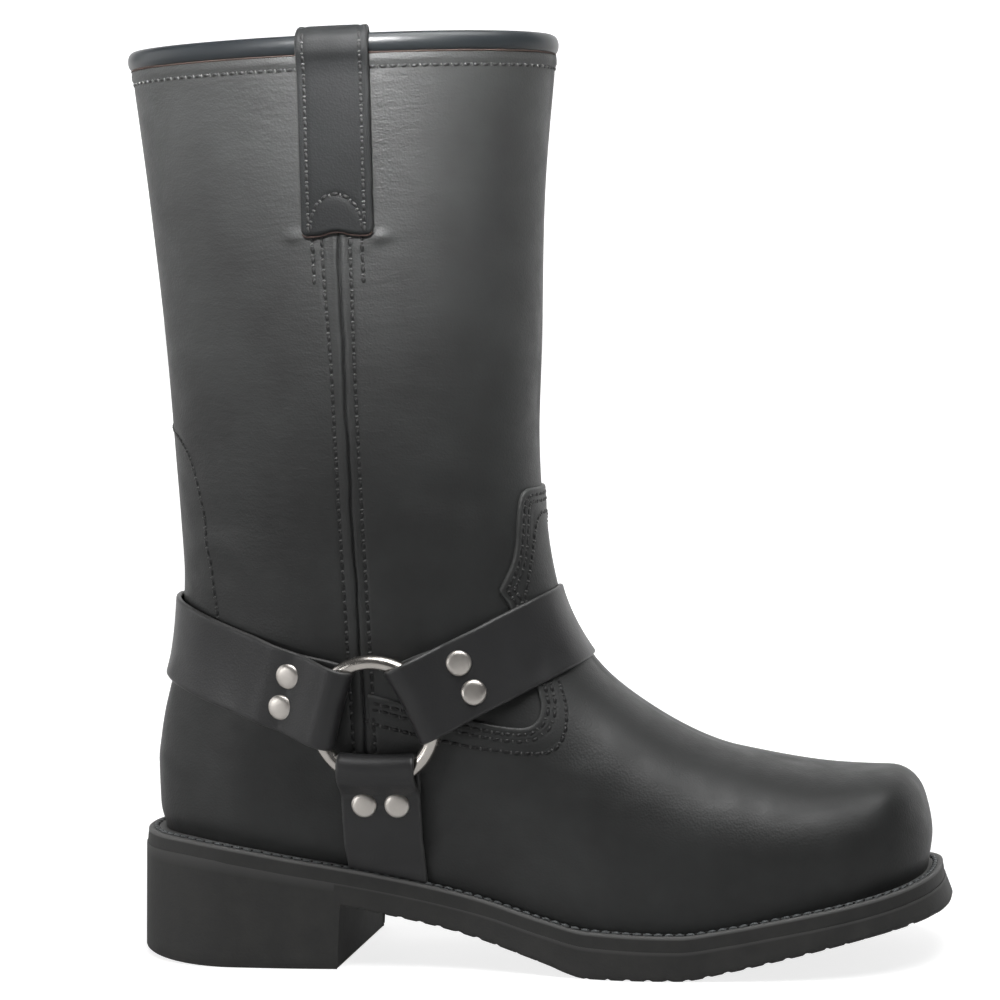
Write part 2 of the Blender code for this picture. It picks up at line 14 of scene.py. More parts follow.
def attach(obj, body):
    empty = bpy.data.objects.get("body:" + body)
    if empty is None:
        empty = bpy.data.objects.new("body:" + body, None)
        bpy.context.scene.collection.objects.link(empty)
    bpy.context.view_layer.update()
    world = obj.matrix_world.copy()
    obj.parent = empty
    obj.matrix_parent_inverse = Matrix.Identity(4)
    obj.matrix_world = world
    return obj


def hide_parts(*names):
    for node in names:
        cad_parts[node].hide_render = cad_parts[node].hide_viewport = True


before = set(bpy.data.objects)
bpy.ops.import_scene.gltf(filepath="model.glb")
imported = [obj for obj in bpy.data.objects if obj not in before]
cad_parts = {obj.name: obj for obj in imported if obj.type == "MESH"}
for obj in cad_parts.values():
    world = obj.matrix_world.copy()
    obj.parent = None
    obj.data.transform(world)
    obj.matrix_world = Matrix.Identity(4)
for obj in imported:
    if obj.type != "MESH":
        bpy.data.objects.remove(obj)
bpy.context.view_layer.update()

# Metres in a millimetre, the part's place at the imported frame's origin, the sides, and fineness of the work
MM = 0.001
X_MIDDLE = 161.0
Y_MIDDLE = 3.8
LATERAL = -1.0
MEDIAL = 1.0
SIDES = {"lateral": LATERAL, "medial": MEDIAL}
WELD = 0.01
HALVINGS = 32
SAMPLES = 400
CURVE_STEPS = 30
WHITE = (1.0, 1.0, 1.0, 1.0)
# Directions that no tube and no turned shape runs along, from which their sides are counted
TUBE_START = (0.2, 0.3, 1.0)
TURNED_START = (0.3, 0.1, 1.0)

# Camera, in the part's millimetres and in degrees
CAMERA_TARGET = (151.0, 0.0, 177.2)
CAMERA_AZIMUTH = 12.5
CAMERA_PITCH = 4.7
CAMERA_ROLL = -1.75
CAMERA_DISTANCE = 1075.0
CAMERA_LENS = 100.2

# Studio, in metres: an even pale floor and surround that only the camera sees, two cards that only light
# the boot, one below it that is dimmer in front and one behind it, and the glow of each
STAGE_HALF = 16.0
FLOOR_GLOW = (0.80, 1.0)
FLOOR_FADE = (0.6, 2.5)
SURROUND_GLOW = 1.0
CARD_DROP = 0.002
LOW_CARD_GLOW = (0.05, 0.80)
LOW_CARD_FADE_Y = (0.05, 0.35)
BACK_CARD_GLOW = 1.0
BACK_CARD = (6.0, 4.0, 5.0)
WORLD_GLOW = 0.05
# Soft lights: place, aim and size in metres, power in watts, and spread of the beam in degrees
LIGHTS = (
    ("collar_light", (-0.06, -0.95, 0.80), (-0.06, 0.0, 0.42), (0.3, 0.2), 1.2, 20.0),
    ("key_light", (0.05, -0.35, 1.10), (0.05, 0.0, 0.10), (0.8, 0.4), 3.5, 180.0),
    ("toe_light", (0.26, -0.25, 0.95), (0.08, 0.0, 0.06), (0.6, 0.6), 4.8, 180.0),
    ("heel_light", (-1.20, -0.10, 0.50), (0.0, 0.0, 0.20), (0.8, 0.8), 2.7, 180.0),
    ("low_light", (-0.75, -0.75, 0.14), (-0.12, -0.03, 0.03), (0.4, 0.4), 0.11, 36.0),
)

# Clearance and thicknesses of the solids
GAP = 0.3
WALL = 2.6
INSOLE_THICK = 3.0
WELT_THICK = 6.2

# Stations along the foot where the section widths are given
HEEL_X = 45.0
WAIST_X = 125.0
BALL_X = 215.0

# The forefoot swings to the medial side in front of the heel
SWING_START_X = 70.0
SWING_TOE_X = 320.0
SWING_AT_TOE = 18.0
SWING_POWER = 1.35
SWING_FADE_Z = (100.0, 170.0)

# Side profile of the sole: place along it, top of the welt, and underside of the waist and forefoot
SOLE_X, SOLE_SEAT, SOLE_TREAD = np.array([
    (0, 50.0, 30.0),
    (25, 49.5, 29.5),
    (40, 48.0, 29.0),
    (55, 45.6, 28.0),
    (70, 43.0, 27.0),
    (90, 39.7, 24.8),
    (110, 36.0, 21.0),
    (132, 31.3, 16.0),
    (147, 27.8, 12.0),
    (170, 21.5, 5.0),
    (188, 17.8, 0.0),
    (222, 16.8, 0.0),
    (240, 19.2, 3.2),
    (258, 22.6, 7.4),
    (280, 26.6, 12.6),
    (292, 28.8, 15.2),
    (305, 31.4, 17.6),
    (322, 35.6, 20.4),
]).T

# Heel block, the mesh's stations at its breast, and the rolled edge of the sole
BREAST_FOOT_X = 89.2
BREAST_HEAD_X = 91.2
BREAST_STEP = 0.4
BREAST_CLEAR = 0.2
HEEL_ROLL = 2.4
HEEL_ROLL_X = 48.0
SOLE_EDGE_ROUND = 1.2

# Plan outlines of the bottom pieces
OUTLINE_COLUMNS = ("back_x", "front_x", "heel", "waist", "ball", "back_round", "front_round", "front_power")
WELT_TOP = (4.8, 316.6, 36.3, 35.0, 49.8, 44.0, 66.0, 2.5)
WELT_LOW = (4.2, 317.2, 36.5, 35.0, 50.0, 44.0, 66.0, 2.5)
SOLE_TOP = (3.8, 317.6, 36.5, 35.0, 50.2, 44.0, 66.0, 2.5)
SOLE_LOW = (2.0, 320.0, 37.0, 35.6, 51.0, 45.0, 66.0, 2.5)

# Sections of the upper, from the edge on the welt to the collar: those of the solid, with the ball's flanks
# leaning in a little more as they rise
SECTION_COLUMNS = ("back_x", "back_z", "front_x", "front_z", "follow", "crown", "heel", "waist", "ball",
                   "back_round", "front_round", "front_power")
SECTIONS = np.array([
    (12.0, 50.5, 310.0, 33.3, 1.00, 0.0, 30.0, 29.0, 44.0, 42.0, 66.0, 2.4),
    (10.3, 60.0, 311.8, 45.5, 0.85, 0.0, 32.5, 32.0, 46.3, 44.0, 66.0, 2.4),
    (10.2, 76.0, 308.5, 62.5, 0.50, 1.0, 33.5, 34.0, 45.0, 46.0, 66.0, 2.4),
    (11.4, 86.0, 299.5, 70.7, 0.30, 4.0, 34.0, 35.0, 42.0, 48.0, 64.0, 2.3),
    (13.0, 95.0, 273.0, 72.7, 0.15, 6.0, 34.5, 36.0, 39.2, 50.0, 66.0, 2.2),
    (15.8, 106.0, 239.0, 78.3, 0.00, 6.0, 35.0, 37.0, 37.6, 54.0, 80.0, 2.1),
    (19.8, 120.0, 205.5, 94.3, 0.00, 4.0, 36.0, 38.5, 38.0, 58.0, 80.0, 2.1),
    (22.3, 136.0, 183.2, 114.5, 0.00, 2.0, 38.0, 40.0, 40.0, 62.0, 78.0, 2.1),
    (23.7, 154.0, 170.9, 143.0, 0.00, 0.0, 40.5, 42.0, 42.0, 68.0, 76.0, 2.1),
    (23.3, 174.0, 167.6, 170.0, 0.00, 0.0, 43.0, 44.0, 44.0, 71.0, 73.0, 2.1),
    (22.1, 202.0, 166.5, 200.0, 0.00, 0.0, 45.0, 46.0, 46.0, 72.0, 72.0, 2.1),
    (19.9, 245.0, 168.8, 243.0, 0.00, 0.0, 47.0, 48.0, 48.0, 74.0, 74.0, 2.1),
    (16.3, 295.0, 171.9, 295.0, 0.00, 0.0, 49.0, 50.0, 50.0, 77.0, 77.0, 2.1),
    (10.8, 346.0, 177.0, 346.4, 0.00, 0.0, 51.0, 52.0, 52.0, 83.0, 83.0, 2.1),
])
BACK_POWER = 2.1
COLLAR = len(SECTIONS) - 1.0

# Mesh of the upper: rows up the boot, spaced evenly along some lines between its back and its front, and
# columns on each side behind and in front of the side seam, which close up to a share of their mean spacing
SKIN_ROWS = 226
ROW_SAMPLES = 600
ROW_LINES = (0.0, 0.4, 1.0)
COLUMNS_BEHIND = 92
COLUMNS_AHEAD = 108
SEAM_CLOSENESS = 0.16
CLOSING_POWER = 2.6
LINING_ROWS = 70
LINING_AROUND = 120
SKIN_SUNK = 1.2

# Forefoot's arch: the section row where the foot is widest, the last row its middle line is taken from, where
# the arch comes in and goes out along the foot and up the instep, and its powers across and up
FOREFOOT_ROWS = (1.0, 8.0)
FOREFOOT_START_X = (160.0, 205.0)
FOREFOOT_END_X = (288.0, 306.0)
FOREFOOT_TOP_Z = (112.0, 140.0)
FOREFOOT_POWERS = (2.2, 2.4)

# Leather's crinkles: heights in metres between which they grow to their full depth, and their least share
CRINKLE_Z = (0.10, 0.19)
CRINKLE_LEAST = 0.3

# Leathers: dark and light of the mottling, worn colour, roughness, and in millimetres the size and depth of
# the grain and the depth of the crinkles; then those with a coat of wax, and with another shine than plain
LEATHERS = {
    "upper_leather": ((0.0215, 0.0220, 0.0217), (0.0345, 0.0360, 0.0355), (0.085, 0.087, 0.085),
                      (0.44, 0.58), 0.9, 0.06, 0.40),
    "strap_leather": ((0.027, 0.027, 0.028), (0.038, 0.038, 0.039), (0.090, 0.090, 0.088),
                      (0.38, 0.48), 0.8, 0.05, 0.08),
    "collar_leather": ((0.010, 0.012, 0.014), (0.013, 0.016, 0.018), (0.05, 0.055, 0.06),
                       (0.34, 0.40), 0.8, 0.01, 0.02),
    "lining_leather": ((0.055, 0.047, 0.040), (0.080, 0.068, 0.057), (0.10, 0.09, 0.08),
                       (0.66, 0.78), 0.9, 0.05, 0.20),
    "insole_leather": ((0.105, 0.078, 0.056), (0.150, 0.115, 0.085), (0.18, 0.14, 0.11),
                       (0.62, 0.76), 0.8, 0.05, 0.12),
    "pull_leather": ((0.0100, 0.0106, 0.0110), (0.0165, 0.0175, 0.0180), (0.055, 0.056, 0.056),
                     (0.50, 0.60), 0.8, 0.05, 0.08),
    # Lips between the stitches: leather coloured far lighter than the upper, a painted highlight where the
    # lips catch the light
    "painted_highlight_leather": ((0.060, 0.060, 0.058), (0.085, 0.085, 0.083), (0.10, 0.10, 0.10),
                       (0.34, 0.44), 0.8, 0.02, 0.02),
    "raw_edge": ((0.030, 0.017, 0.013), (0.048, 0.027, 0.021), (0.06, 0.04, 0.03),
                 (0.70, 0.80), 0.8, 0.03, 0.05),
}
COATS = {"strap_leather": 0.05, "collar_leather": 0.08}
SHINES = {"pull_leather": 0.20}
PLAIN_SHINE = 0.5

# Side seam: place, groove, the rolled leather beside it, and its stitch rows
SEAM_X = 103.5
SEAM_DEPTH = 1.1
SEAM_HALF = 0.45
SEAM_WANDER = 0.2
SEAM_ROLL = 0.25
SEAM_ROLL_AT = 1.7
SEAM_ROLL_HALF = 1.3
SEAM_WAVES = (7.3, 2.9)
SEAM_SECOND_WAVE = 0.6
SEAM_LAP = (0.1, 1.8)
SEAM_ROW_BEHIND = 4.8
SEAM_ROW_AHEAD = 4.0
SEAM_ROW_SPREAD = 1.5
SEAM_ROW_SPREAD_Z = (225.0, 275.0)
SEAM_ROW_SPREAD_AHEAD = 0.2
SEAM_ROW_OFF_WELT = 6.0
SEAM_ROW_PAST_PULL = 4.0
ROW_TROUGH = 0.32
ROW_TROUGH_HALF = 0.9

# Vamp: edge from the side seam round to the top of its tab, in side view, and its thickness
VAMP_EDGE = (
    (105.9, 107.0),
    (119.5, 103.6),
    (147.6, 96.2),
    (157.0, 94.0),
    (164.6, 93.2),
    (168.7, 95.4),
    (170.2, 100.4),
    (168.9, 106.2),
    (163.6, 124.0),
    (158.4, 138.6),
    (156.0, 143.0),
    (155.2, 145.0),
    (156.2, 147.2),
    (159.2, 154.0),
    (160.8, 162.0),
    (162.0, 177.4),
    (164.0, 182.0),
    (166.9, 182.4),
)
VAMP_THICK = 1.2
VAMP_RAMP = (2.0, 9.0)
VAMP_SPACING = 0.8
VAMP_WORN_AT = 0.2
VAMP_WORN_HALF = 0.5
BEYOND_TOE_X = 400.0
# Strip along the vamp's edge: distance in from the edge, and height over the outer face
VAMP_STRIP = np.array([
    (-0.25, -0.50),
    (-0.22, 0.55),
    (-0.05, 1.02),
    (0.30, 1.30),
    (0.80, 1.40),
    (1.60, 1.38),
    (2.60, 1.12),
    (3.60, 1.36),
    (4.20, 1.36),
    (5.20, 1.12),
    (6.20, 1.34),
    (7.20, 1.32),
    (8.40, 1.24),
    (9.60, 1.16),
    (10.60, 0.90),
])
VAMP_ROWS_IN = (2.6, 5.2)
# Third row of stitches, further in than the other two
THIRD_ROW = (
    (104.6, 96.6),
    (119.0, 92.8),
    (142.4, 87.4),
    (154.5, 85.4),
    (165.0, 83.9),
    (173.2, 84.0),
    (177.6, 87.0),
    (179.3, 93.2),
    (178.4, 100.6),
    (175.6, 108.5),
    (168.0, 124.0),
    (163.4, 139.0),
    (163.6, 146.0),
    (165.0, 156.0),
    (166.0, 168.0),
    (166.9, 172.6),
)

# Counter: single row from the middle of the back down to the back strap
COUNTER_ROW = (
    (21.8, 209.8),
    (24.1, 208.0),
    (33.7, 199.9),
    (39.5, 183.5),
    (42.1, 159.8),
    (44.8, 138.1),
    (46.0, 126.0),
)

# Collar: bead section, stitch row below it, and the leather puffed between them
BEAD_HEIGHT = 7.4
BEAD_THICK = 5.4
BEAD_AROUND = 260
BEAD_SIDES = 24
BEAD_ROUND_POWER = 0.85
COLLAR_TOP_Z = 346.2
COLLAR_ROW_Z = 341.4
COLLAR_SAMPLES = 900
COLLAR_PUFF = 0.55
COLLAR_PUFF_HALF = 2.0
CUT_EDGE = 0.35

# Slow waves of the leather: height, lengths along and up, and turn between the sides, with the crossed one's
# rise last
CROSSED_WAVE = (0.16, 17.0, 23.0, 0.8, 1.1)
SLANTED_WAVES = ((0.12, 31.0, -19.0, 2.0), (0.10, 11.0, 37.0, 1.0))

# Main creases in side view: start, end, half width and depth; then the share of their length over which they
# fade at each end, and the raised lips beside them
CREASES = (
    ((118.0, 186.0), (160.0, 176.0), 5.0, 0.45),
    ((126.0, 168.0), (158.0, 160.0), 4.0, 0.35),
    ((28.0, 176.0), (64.0, 170.0), 5.0, 0.40),
    ((26.0, 160.0), (58.0, 152.0), 4.0, 0.30),
    ((190.0, 52.0), (214.0, 84.0), 7.0, 0.35),
    ((206.0, 48.0), (230.0, 76.0), 6.0, 0.25),
)
CREASE_FADE = 0.35
CREASE_LIP = 0.55
CREASE_LIP_AT = 2.2

# Leather pushed up beside the lower corners of the pull straps, in side view: place and height
PUCKERS = (((86.4, 280.2), 1.0), ((119.4, 279.2), 1.0), ((93.0, 276.0), 0.25), ((113.0, 276.0), 0.25))
PUCKER_LONG = 3.6
PUCKER_TALL = 1.9

# Harness rings
RING_X = 109.4
RING_Z = 98.2
RING_INSIDE = 40.2
RING_WIRE = 5.6
RING_RADIUS = (RING_INSIDE + RING_WIRE) / 2
RING_SEGMENTS = 120
RING_SIDES = 28
RING_LIFT = 6.2
RING_SPAN = 6.0

# Straps: angles from the ring in side view, half widths, and the fold round the ring's wire
STRAP_LEATHER = 2.2
STRAP_EDGE = 1.0
STRAP_WORN_HALF = 0.6
STRAP_ACROSS = 25
FOLD_MIDDLE = 4.8
FOLD_START = 20.0
FOLD_TURN_AT = 18.9
FOLD_TURN_EDGE = 0.9
FOLD_NARROW = 0.01
FOLD_NARROW_ENDS = (15.0, 31.0)
TUCKED_END = 44.5
TUCKED_STATIONS = 22
FOLD_STATIONS = 18
LOOP_END = 56.0
LOOP_STATIONS = 34
WRAP_STATIONS = 70
WRAP_REACH = 140.0
ANCHOR_STATIONS = 8
LOOP_LIES_FLAT = {"front": (20.0, 35.0), "back": (19.5, 37.0), "anchor": (20.0, 29.5)}
LOOP_DOUBLED = (44.0, 57.0)
TUCKED_NARROWER = 1.0
DOUBLED_MIDDLE = {"front": 3.9, "back": 3.9, "anchor": 5.6}
TUCKED_MIDDLE = {"front": 1.9, "back": 1.9, "anchor": 3.3}
SINGLE_MIDDLE = {"front": 1.9, "back": 1.9, "anchor": 2.8}
STRAP_ANGLE = {"front": 25.0, "back": 162.0, "anchor": 270.0}
STRAP_HALF = {"front": 15.5, "back": 16.0, "anchor": 15.4}
ANCHOR_FOOT = 1.0

# Rivets: distance from the ring's centre, spacing, and turned profile as radius and height
RIVET_REACH = {"front": 37.0, "back": 37.0, "anchor": 32.0}
RIVET_APART = 6.4
RIVET_DOME = (
    (0.0, 1.6),
    (1.6, 1.57),
    (2.8, 1.48),
    (3.7, 1.3),
    (4.35, 0.98),
    (4.75, 0.56),
    (4.9, 0.2),
    (4.8, -0.5),
)
RIVET_PATCH = np.array([-2.0, 0.0, 2.0])
RIVET_STEPS = 48
RIVET_SEAT = 0.15

# Pull straps: centre line, half width, and the path over the collar, as distance out and height of the under
# face and of the over face
PULL_TOP_X = 104.6
PULL_LOW_X = 103.4
PULL_HALF = 13.4
PULL_LOW_Z = 280.0
PULL_PATH = np.array([
    (0.4, 280.0, 2.8, 280.0),
    (0.4, 300.0, 2.8, 300.0),
    (0.4, 320.0, 2.8, 320.0),
    (0.4, 338.0, 2.8, 338.5),
    (1.0, 344.0, 3.3, 343.6),
    (1.9, 348.0, 4.4, 348.0),
    (1.7, 351.5, 4.0, 353.0),
    (0.4, 353.8, 1.2, 356.2),
    (-1.3, 354.5, -1.3, 357.0),
    (-3.0, 353.8, -3.8, 356.2),
    (-4.3, 351.5, -6.6, 353.0),
    (-4.5, 348.0, -7.0, 348.0),
    (-3.6, 344.0, -5.9, 343.6),
    (-3.2, 338.0, -5.6, 338.5),
    (-3.2, 318.0, -5.6, 318.0),
    (-3.2, 298.0, -5.6, 298.0),
])
PULL_OUTER_ROWS = 7
PULL_STATIONS = 150
PULL_ACROSS = 29
PULL_BELOW_RIM = 0.5
PULL_END_ROUND = 0.9
PULL_CORNER = 2.6
PULL_NOTCH = 1.6
PULL_NOTCH_HALF = 5.0
PULL_END_Z = 300.0
PULL_WORN_HALF = 0.7
PULL_ROW_IN = 3.0
PULL_ROW_OFF_END = 2.5
PULL_ROW_SUNK = 0.28
PULL_TROUGH = 0.2
PULL_TROUGH_HALF = 0.6
PULL_CUT_OUT = 1.5
PULL_CUT_DROP = 0.1
PULL_CUT_SHARE = 0.97
PULL_CUT_STATIONS = 60
# Stitched arch at the foot of a pull strap, the trough along it and the leather swollen below it
ARCH_HALF = 9.4
ARCH_LOW_Z = 283.5
ARCH_TOP_Z = 295.4
ARCH_SAMPLES = 200
ARCH_OUT = 2.6
ARCH_TROUGH = 0.32
ARCH_TROUGH_HALF = 1.0
ARCH_SWELL = 0.2
ARCH_SWELL_WITHIN = 4.0

# Stitches: length, width and height of one, its mesh, and the spacing of each kind of row
STITCH_SHAPE = {
    "fine": (3.1, 1.5, 0.9),
    "lip": (1.0, 1.4, 1.15),
    "welt": (3.5, 1.9, 1.1),
    # Dark dot between two welt stitches: painted shade in the gap between them
    "shade_dot": (1.1, 0.9, 0.6),
}
STITCH_RINGS = 7
STITCH_SIDES = 8
STITCH_TIP = 0.04
STITCH_SINK = 0.45
FINE_PITCH = 3.9
WELT_PITCH = 4.0
WELT_ROW_IN = 3.0
WELT_ROW_LIFT = 0.15
# Share of the pale rubber colour painted on the welt's top faces as a highlight
WELT_TOP_HIGHLIGHT = 0.75
STITCH_LEAN = 0.14
STITCH_LEAN_VARIES = 0.05
STITCH_SEED = 7
SHORT_ROWS_OFF = (-9.9, 8.9)
SHORT_ROWS_ENDS = (-16.5, 2.0)

# Welt's rim, from the inside over the stitch channel to the rounded edge: distance in from its top outline,
# and drop; then the drop halfway down its side, how far the hidden faces reach in, and the drop down to which
# its top faces are painted paler as a highlight
WELT_RIM = (
    (14.0, 0.0),
    (6.0, 0.0),
    (4.6, 0.0),
    (4.0, 0.2),
    (3.0, 0.3),
    (2.0, 0.2),
    (1.5, 0.0),
    (1.0, 0.0),
    (0.45, 0.08),
    (0.12, 0.35),
    (0.0, 0.85),
    (0.0, 1.4),
)
WELT_HALFWAY_DROP = 3.2
RIM_INSIDE = 14.0
WELT_HIGHLIGHT_DROP = 0.9
WELT_SHARP = 55.0

# Moulded sole: bars of fine tread, clear of the heel's breast, and the mesh's levels down the side
TREAD_PITCH = 7.4
TREAD_GROOVE = 2.3
TREAD_GROOVE_SIDE = 0.4
TREAD_OFF_BREAST = (2.5, 3.5)
TREAD_DEPTH = 2.0
TREAD_RIM = 5.0
TREAD_RIM_DEPTH = 0.55
TREAD_BOW = 0.006
NOTCH_POWER = 6
SOLE_JOIN = 0.35
SOLE_JOIN_IN = 0.05
SOLE_JOIN_DROP = 0.4
# Paler line painted round the top of the sole's side, a painted highlight on its small ledge
JOIN_LINE_HIGHLIGHT = 0.3
SOLE_STATIONS = 420
SOLE_ACROSS = 45
SOLE_LEVELS = 10
SOLE_EDGE_TURNS = (30.0, 60.0)
SOLE_SHARP = 38.0

# Insole: clearance inside the wall, and its edge as distance in and drop below its top
INSOLE_CLEAR = 1.4
INSOLE_STATIONS = 160
INSOLE_EDGE = (
    (0.0, INSOLE_THICK),
    (0.0, 0.6),
    (0.25, 0.15),
    (0.8, 0.0),
    (8.0, 0.0),
)


def smoothstep(low, high, value):
    """Ease from 0 at low to 1 at high."""
    t = np.clip((np.asarray(value, float) - low) / (high - low), 0.0, 1.0)
    return t * t * (3.0 - 2.0 * t)


def hump(value, half):
    """Round hump of height 1 at 0 that has mostly died away at twice its half width."""
    return np.exp(-(np.asarray(value, float) / half) ** 2)


def smooth(knots, values, at):
    """Cubic through the knots whose slopes are limited so that it never overshoots them."""
    knots = np.asarray(knots, float)
    values = np.asarray(values, float).reshape(len(knots), -1)
    at = np.atleast_1d(np.asarray(at, float))
    step = np.diff(knots)[:, None]
    rate = np.diff(values, axis=0) / step
    same_way = rate[:-1] * rate[1:] > 0.0
    total = np.where(same_way, rate[:-1] + rate[1:], 1.0)
    slope = np.vstack([rate[:1], np.where(same_way, 2.0 * rate[:-1] * rate[1:] / total, 0.0), rate[-1:]])
    index = np.clip(np.searchsorted(knots, at, side="right") - 1, 0, len(knots) - 2)
    width = step[index]
    t = (at - knots[index])[:, None] / width
    return ((1 + 2 * t) * (1 - t) ** 2 * values[index] + t * (1 - t) ** 2 * width * slope[index]
            + t * t * (3 - 2 * t) * values[index + 1] + t * t * (t - 1) * width * slope[index + 1])


def curve_through(places):
    """Closely spaced points on a smooth curve through a short list of places."""
    places = np.asarray(places, float)
    padded = np.vstack([2 * places[0] - places[1], places, 2 * places[-1] - places[-2]])
    t = np.linspace(0.0, 1.0, CURVE_STEPS, endpoint=False)[:, None]
    pieces = []
    for before, start, end, after in zip(padded, padded[1:], padded[2:], padded[3:]):
        pieces.append(start + (end - before) * t / 2 + (2 * before - 5 * start + 4 * end - after) * t ** 2 / 2
                      + (3 * start - before - 3 * end + after) * t ** 3 / 2)
    return np.vstack(pieces + [places[-1:]])


def run_length(points):
    """Distance along a line of points."""
    steps = np.linalg.norm(np.diff(points, axis=0), axis=1)
    return np.concatenate([[0.0], np.cumsum(steps)])


def unit(vectors):
    """Vectors scaled to length 1."""
    return vectors / np.maximum(np.linalg.norm(vectors, axis=-1, keepdims=True), 1e-9)


def turns(count):
    """Angles at even steps once round."""
    return np.arange(count) * 2 * math.pi / count


def side_of(turn):
    """Side of the boot at a turn round it."""
    return np.where(np.mod(turn, 2 * math.pi) <= math.pi, LATERAL, MEDIAL)


def farthest(low, high, inside):
    """Farthest values between two bounds that a test still finds inside, by halving."""
    for _ in range(HALVINGS):
        middle = (low + high) / 2
        kept = inside(middle)
        low = np.where(kept, middle, low)
        high = np.where(kept, high, middle)
    return middle


def seat(x):
    """Height of the top of the welt."""
    return smooth(SOLE_X, SOLE_SEAT, x)[:, 0]


def tread(x):
    """Height of the underside of the waist and forefoot."""
    return smooth(SOLE_X, SOLE_TREAD, x)[:, 0]


def swing(x, z):
    """How far the middle of the foot has swung to the medial side."""
    forward = np.clip((x - SWING_START_X) / (SWING_TOE_X - SWING_START_X), 0.0, None) ** SWING_POWER
    return SWING_AT_TOE * forward * (1.0 - smoothstep(*SWING_FADE_Z, z))


def half_width(x, size):
    """Half width of a plan outline, and the share of it that the rounding of the front leaves."""
    wide = (size["heel"] + (size["waist"] - size["heel"]) * smoothstep(HEEL_X, WAIST_X, x)
            + (size["ball"] - size["waist"]) * smoothstep(WAIST_X, BALL_X, x))
    from_back = np.clip((x - size["back_x"]) / size["back_round"], 0.0, 1.0)
    from_front = np.clip((size["front_x"] - x) / size["front_round"], 0.0, 1.0)
    back = (1.0 - (1.0 - from_back) ** BACK_POWER) ** (1.0 / BACK_POWER)
    front = (1.0 - (1.0 - from_front) ** size["front_power"]) ** (1.0 / size["front_power"])
    return wide * back * front, front


def section_sizes(row):
    """Sizes of the upper's sections at rows between the tabled ones, by column name."""
    return dict(zip(SECTION_COLUMNS, smooth(np.arange(len(SECTIONS)), SECTIONS, row).T))


def section_points(row, along, side):
    """Points on the upper's sections: section row, share of the way forward, and side."""
    row, along, side = np.broadcast_arrays(row, along, side)
    shape = row.shape
    size = section_sizes(row.ravel())
    along = along.ravel().astype(float)
    x = size["back_x"] + (size["front_x"] - size["back_x"]) * along
    width, front = half_width(x, size)
    first = dict(zip(SECTION_COLUMNS, SECTIONS[0]))
    ends = seat([first["back_x"], first["front_x"]])
    chord = ends[0] + (ends[1] - ends[0]) * (x - first["back_x"]) / (first["front_x"] - first["back_x"])
    z = (size["back_z"] + (size["front_z"] - size["back_z"]) * along + size["follow"] * (seat(x) - chord)
         - size["crown"] * front ** 2 * np.clip(2.0 * along, 0.0, 1.0) ** 2)
    y = side.ravel() * width + swing(x, z)
    return np.stack([x, y, z], axis=1).reshape(shape + (3,))


widest_line = section_points(FOREFOOT_ROWS[0], np.linspace(0.0, 1.0, SAMPLES), LATERAL)
widest_half = np.abs(widest_line[:, 1] - swing(widest_line[:, 0], widest_line[:, 2]))
middle_line = section_points(np.linspace(FOREFOOT_ROWS[1], FOREFOOT_ROWS[0], SAMPLES), 1.0, LATERAL)


def arched(points):
    """Points on the sections moved on to an arch over the forefoot, as wide and high as the sections are."""
    x, z = points[..., 0], points[..., 2]
    share = (smoothstep(*FOREFOOT_START_X, x) * (1.0 - smoothstep(*FOREFOOT_END_X, x))
             * (1.0 - smoothstep(*FOREFOOT_TOP_Z, z)))
    base = np.interp(x, widest_line[:, 0], widest_line[:, 2])
    part = (share > 0.0) & (z > base)
    x, y, z = points[part].T
    share, base, middle = share[part], base[part], swing(x, z)
    wide = np.interp(x, widest_line[:, 0], widest_half)
    tall = np.interp(x, middle_line[:, 0], middle_line[:, 2]) - base
    across = np.abs(y - middle) / np.maximum(wide, 1.0)
    up = (z - base) / np.maximum(tall, 1.0)
    powers = FOREFOOT_POWERS
    scale = farthest(np.zeros(x.shape), np.full(x.shape, 2.0),
                     lambda scale: (scale * across) ** powers[0] + (scale * up) ** powers[1] < 1.0)
    grow = 1.0 + share * (scale - 1.0)
    moved = points.copy()
    moved[part] = np.stack([x, middle + (y - middle) * grow, base + (z - base) * grow], axis=-1)
    return moved


def upper_surface(row, along, side):
    """Points on the outer face of the upper: section row, share of the way forward, and side."""
    return arched(section_points(row, along, side))


def skin(row, turn):
    """Points on the outer face at a turn round the boot: 0 at the back, pi at the front, lateral first."""
    return upper_surface(row, (1.0 - np.cos(turn)) / 2, side_of(turn))


def skin_slopes(row, turn):
    """How the outer face moves up with the row and round with the turn."""
    step = 0.004
    up = (skin(row + step, turn) - skin(row - step, turn)) / (2 * step)
    around = (skin(row, turn + step) - skin(row, turn - step)) / (2 * step)
    return up, around


def skin_normal(row, turn):
    """Outward normals of the outer face."""
    up, around = skin_slopes(row, turn)
    return unit(np.cross(around, up))


def locate(x, z, side):
    """Section row and turn of places that are given in side view on one side."""
    x, z, side = np.broadcast_arrays(np.asarray(x, float), np.asarray(z, float), side)
    shape = x.shape
    x, z, side = x.ravel(), z.ravel(), side.ravel()

    def along(row):
        size = section_sizes(row)
        return np.clip((x - size["back_x"]) / (size["front_x"] - size["back_x"]), 0.0, 1.0)

    row = farthest(np.zeros(x.size), np.full(x.size, COLLAR),
                   lambda row: upper_surface(row, along(row), side)[:, 2] < z)
    turn = np.arccos(1.0 - 2.0 * along(row))
    turn = np.where(side < 0.0, turn, 2 * math.pi - turn)
    return row.reshape(shape), turn.reshape(shape)


def upper_at(x, z, side):
    """Points on the outer face at places given in side view."""
    return skin(*locate(x, z, side))


def profile_x(z, end):
    """Where the back or the front of the upper is at a height, in side view."""
    size = section_sizes(np.linspace(0.0, COLLAR, SAMPLES))
    return np.interp(z, size[end + "_z"], size[end + "_x"])


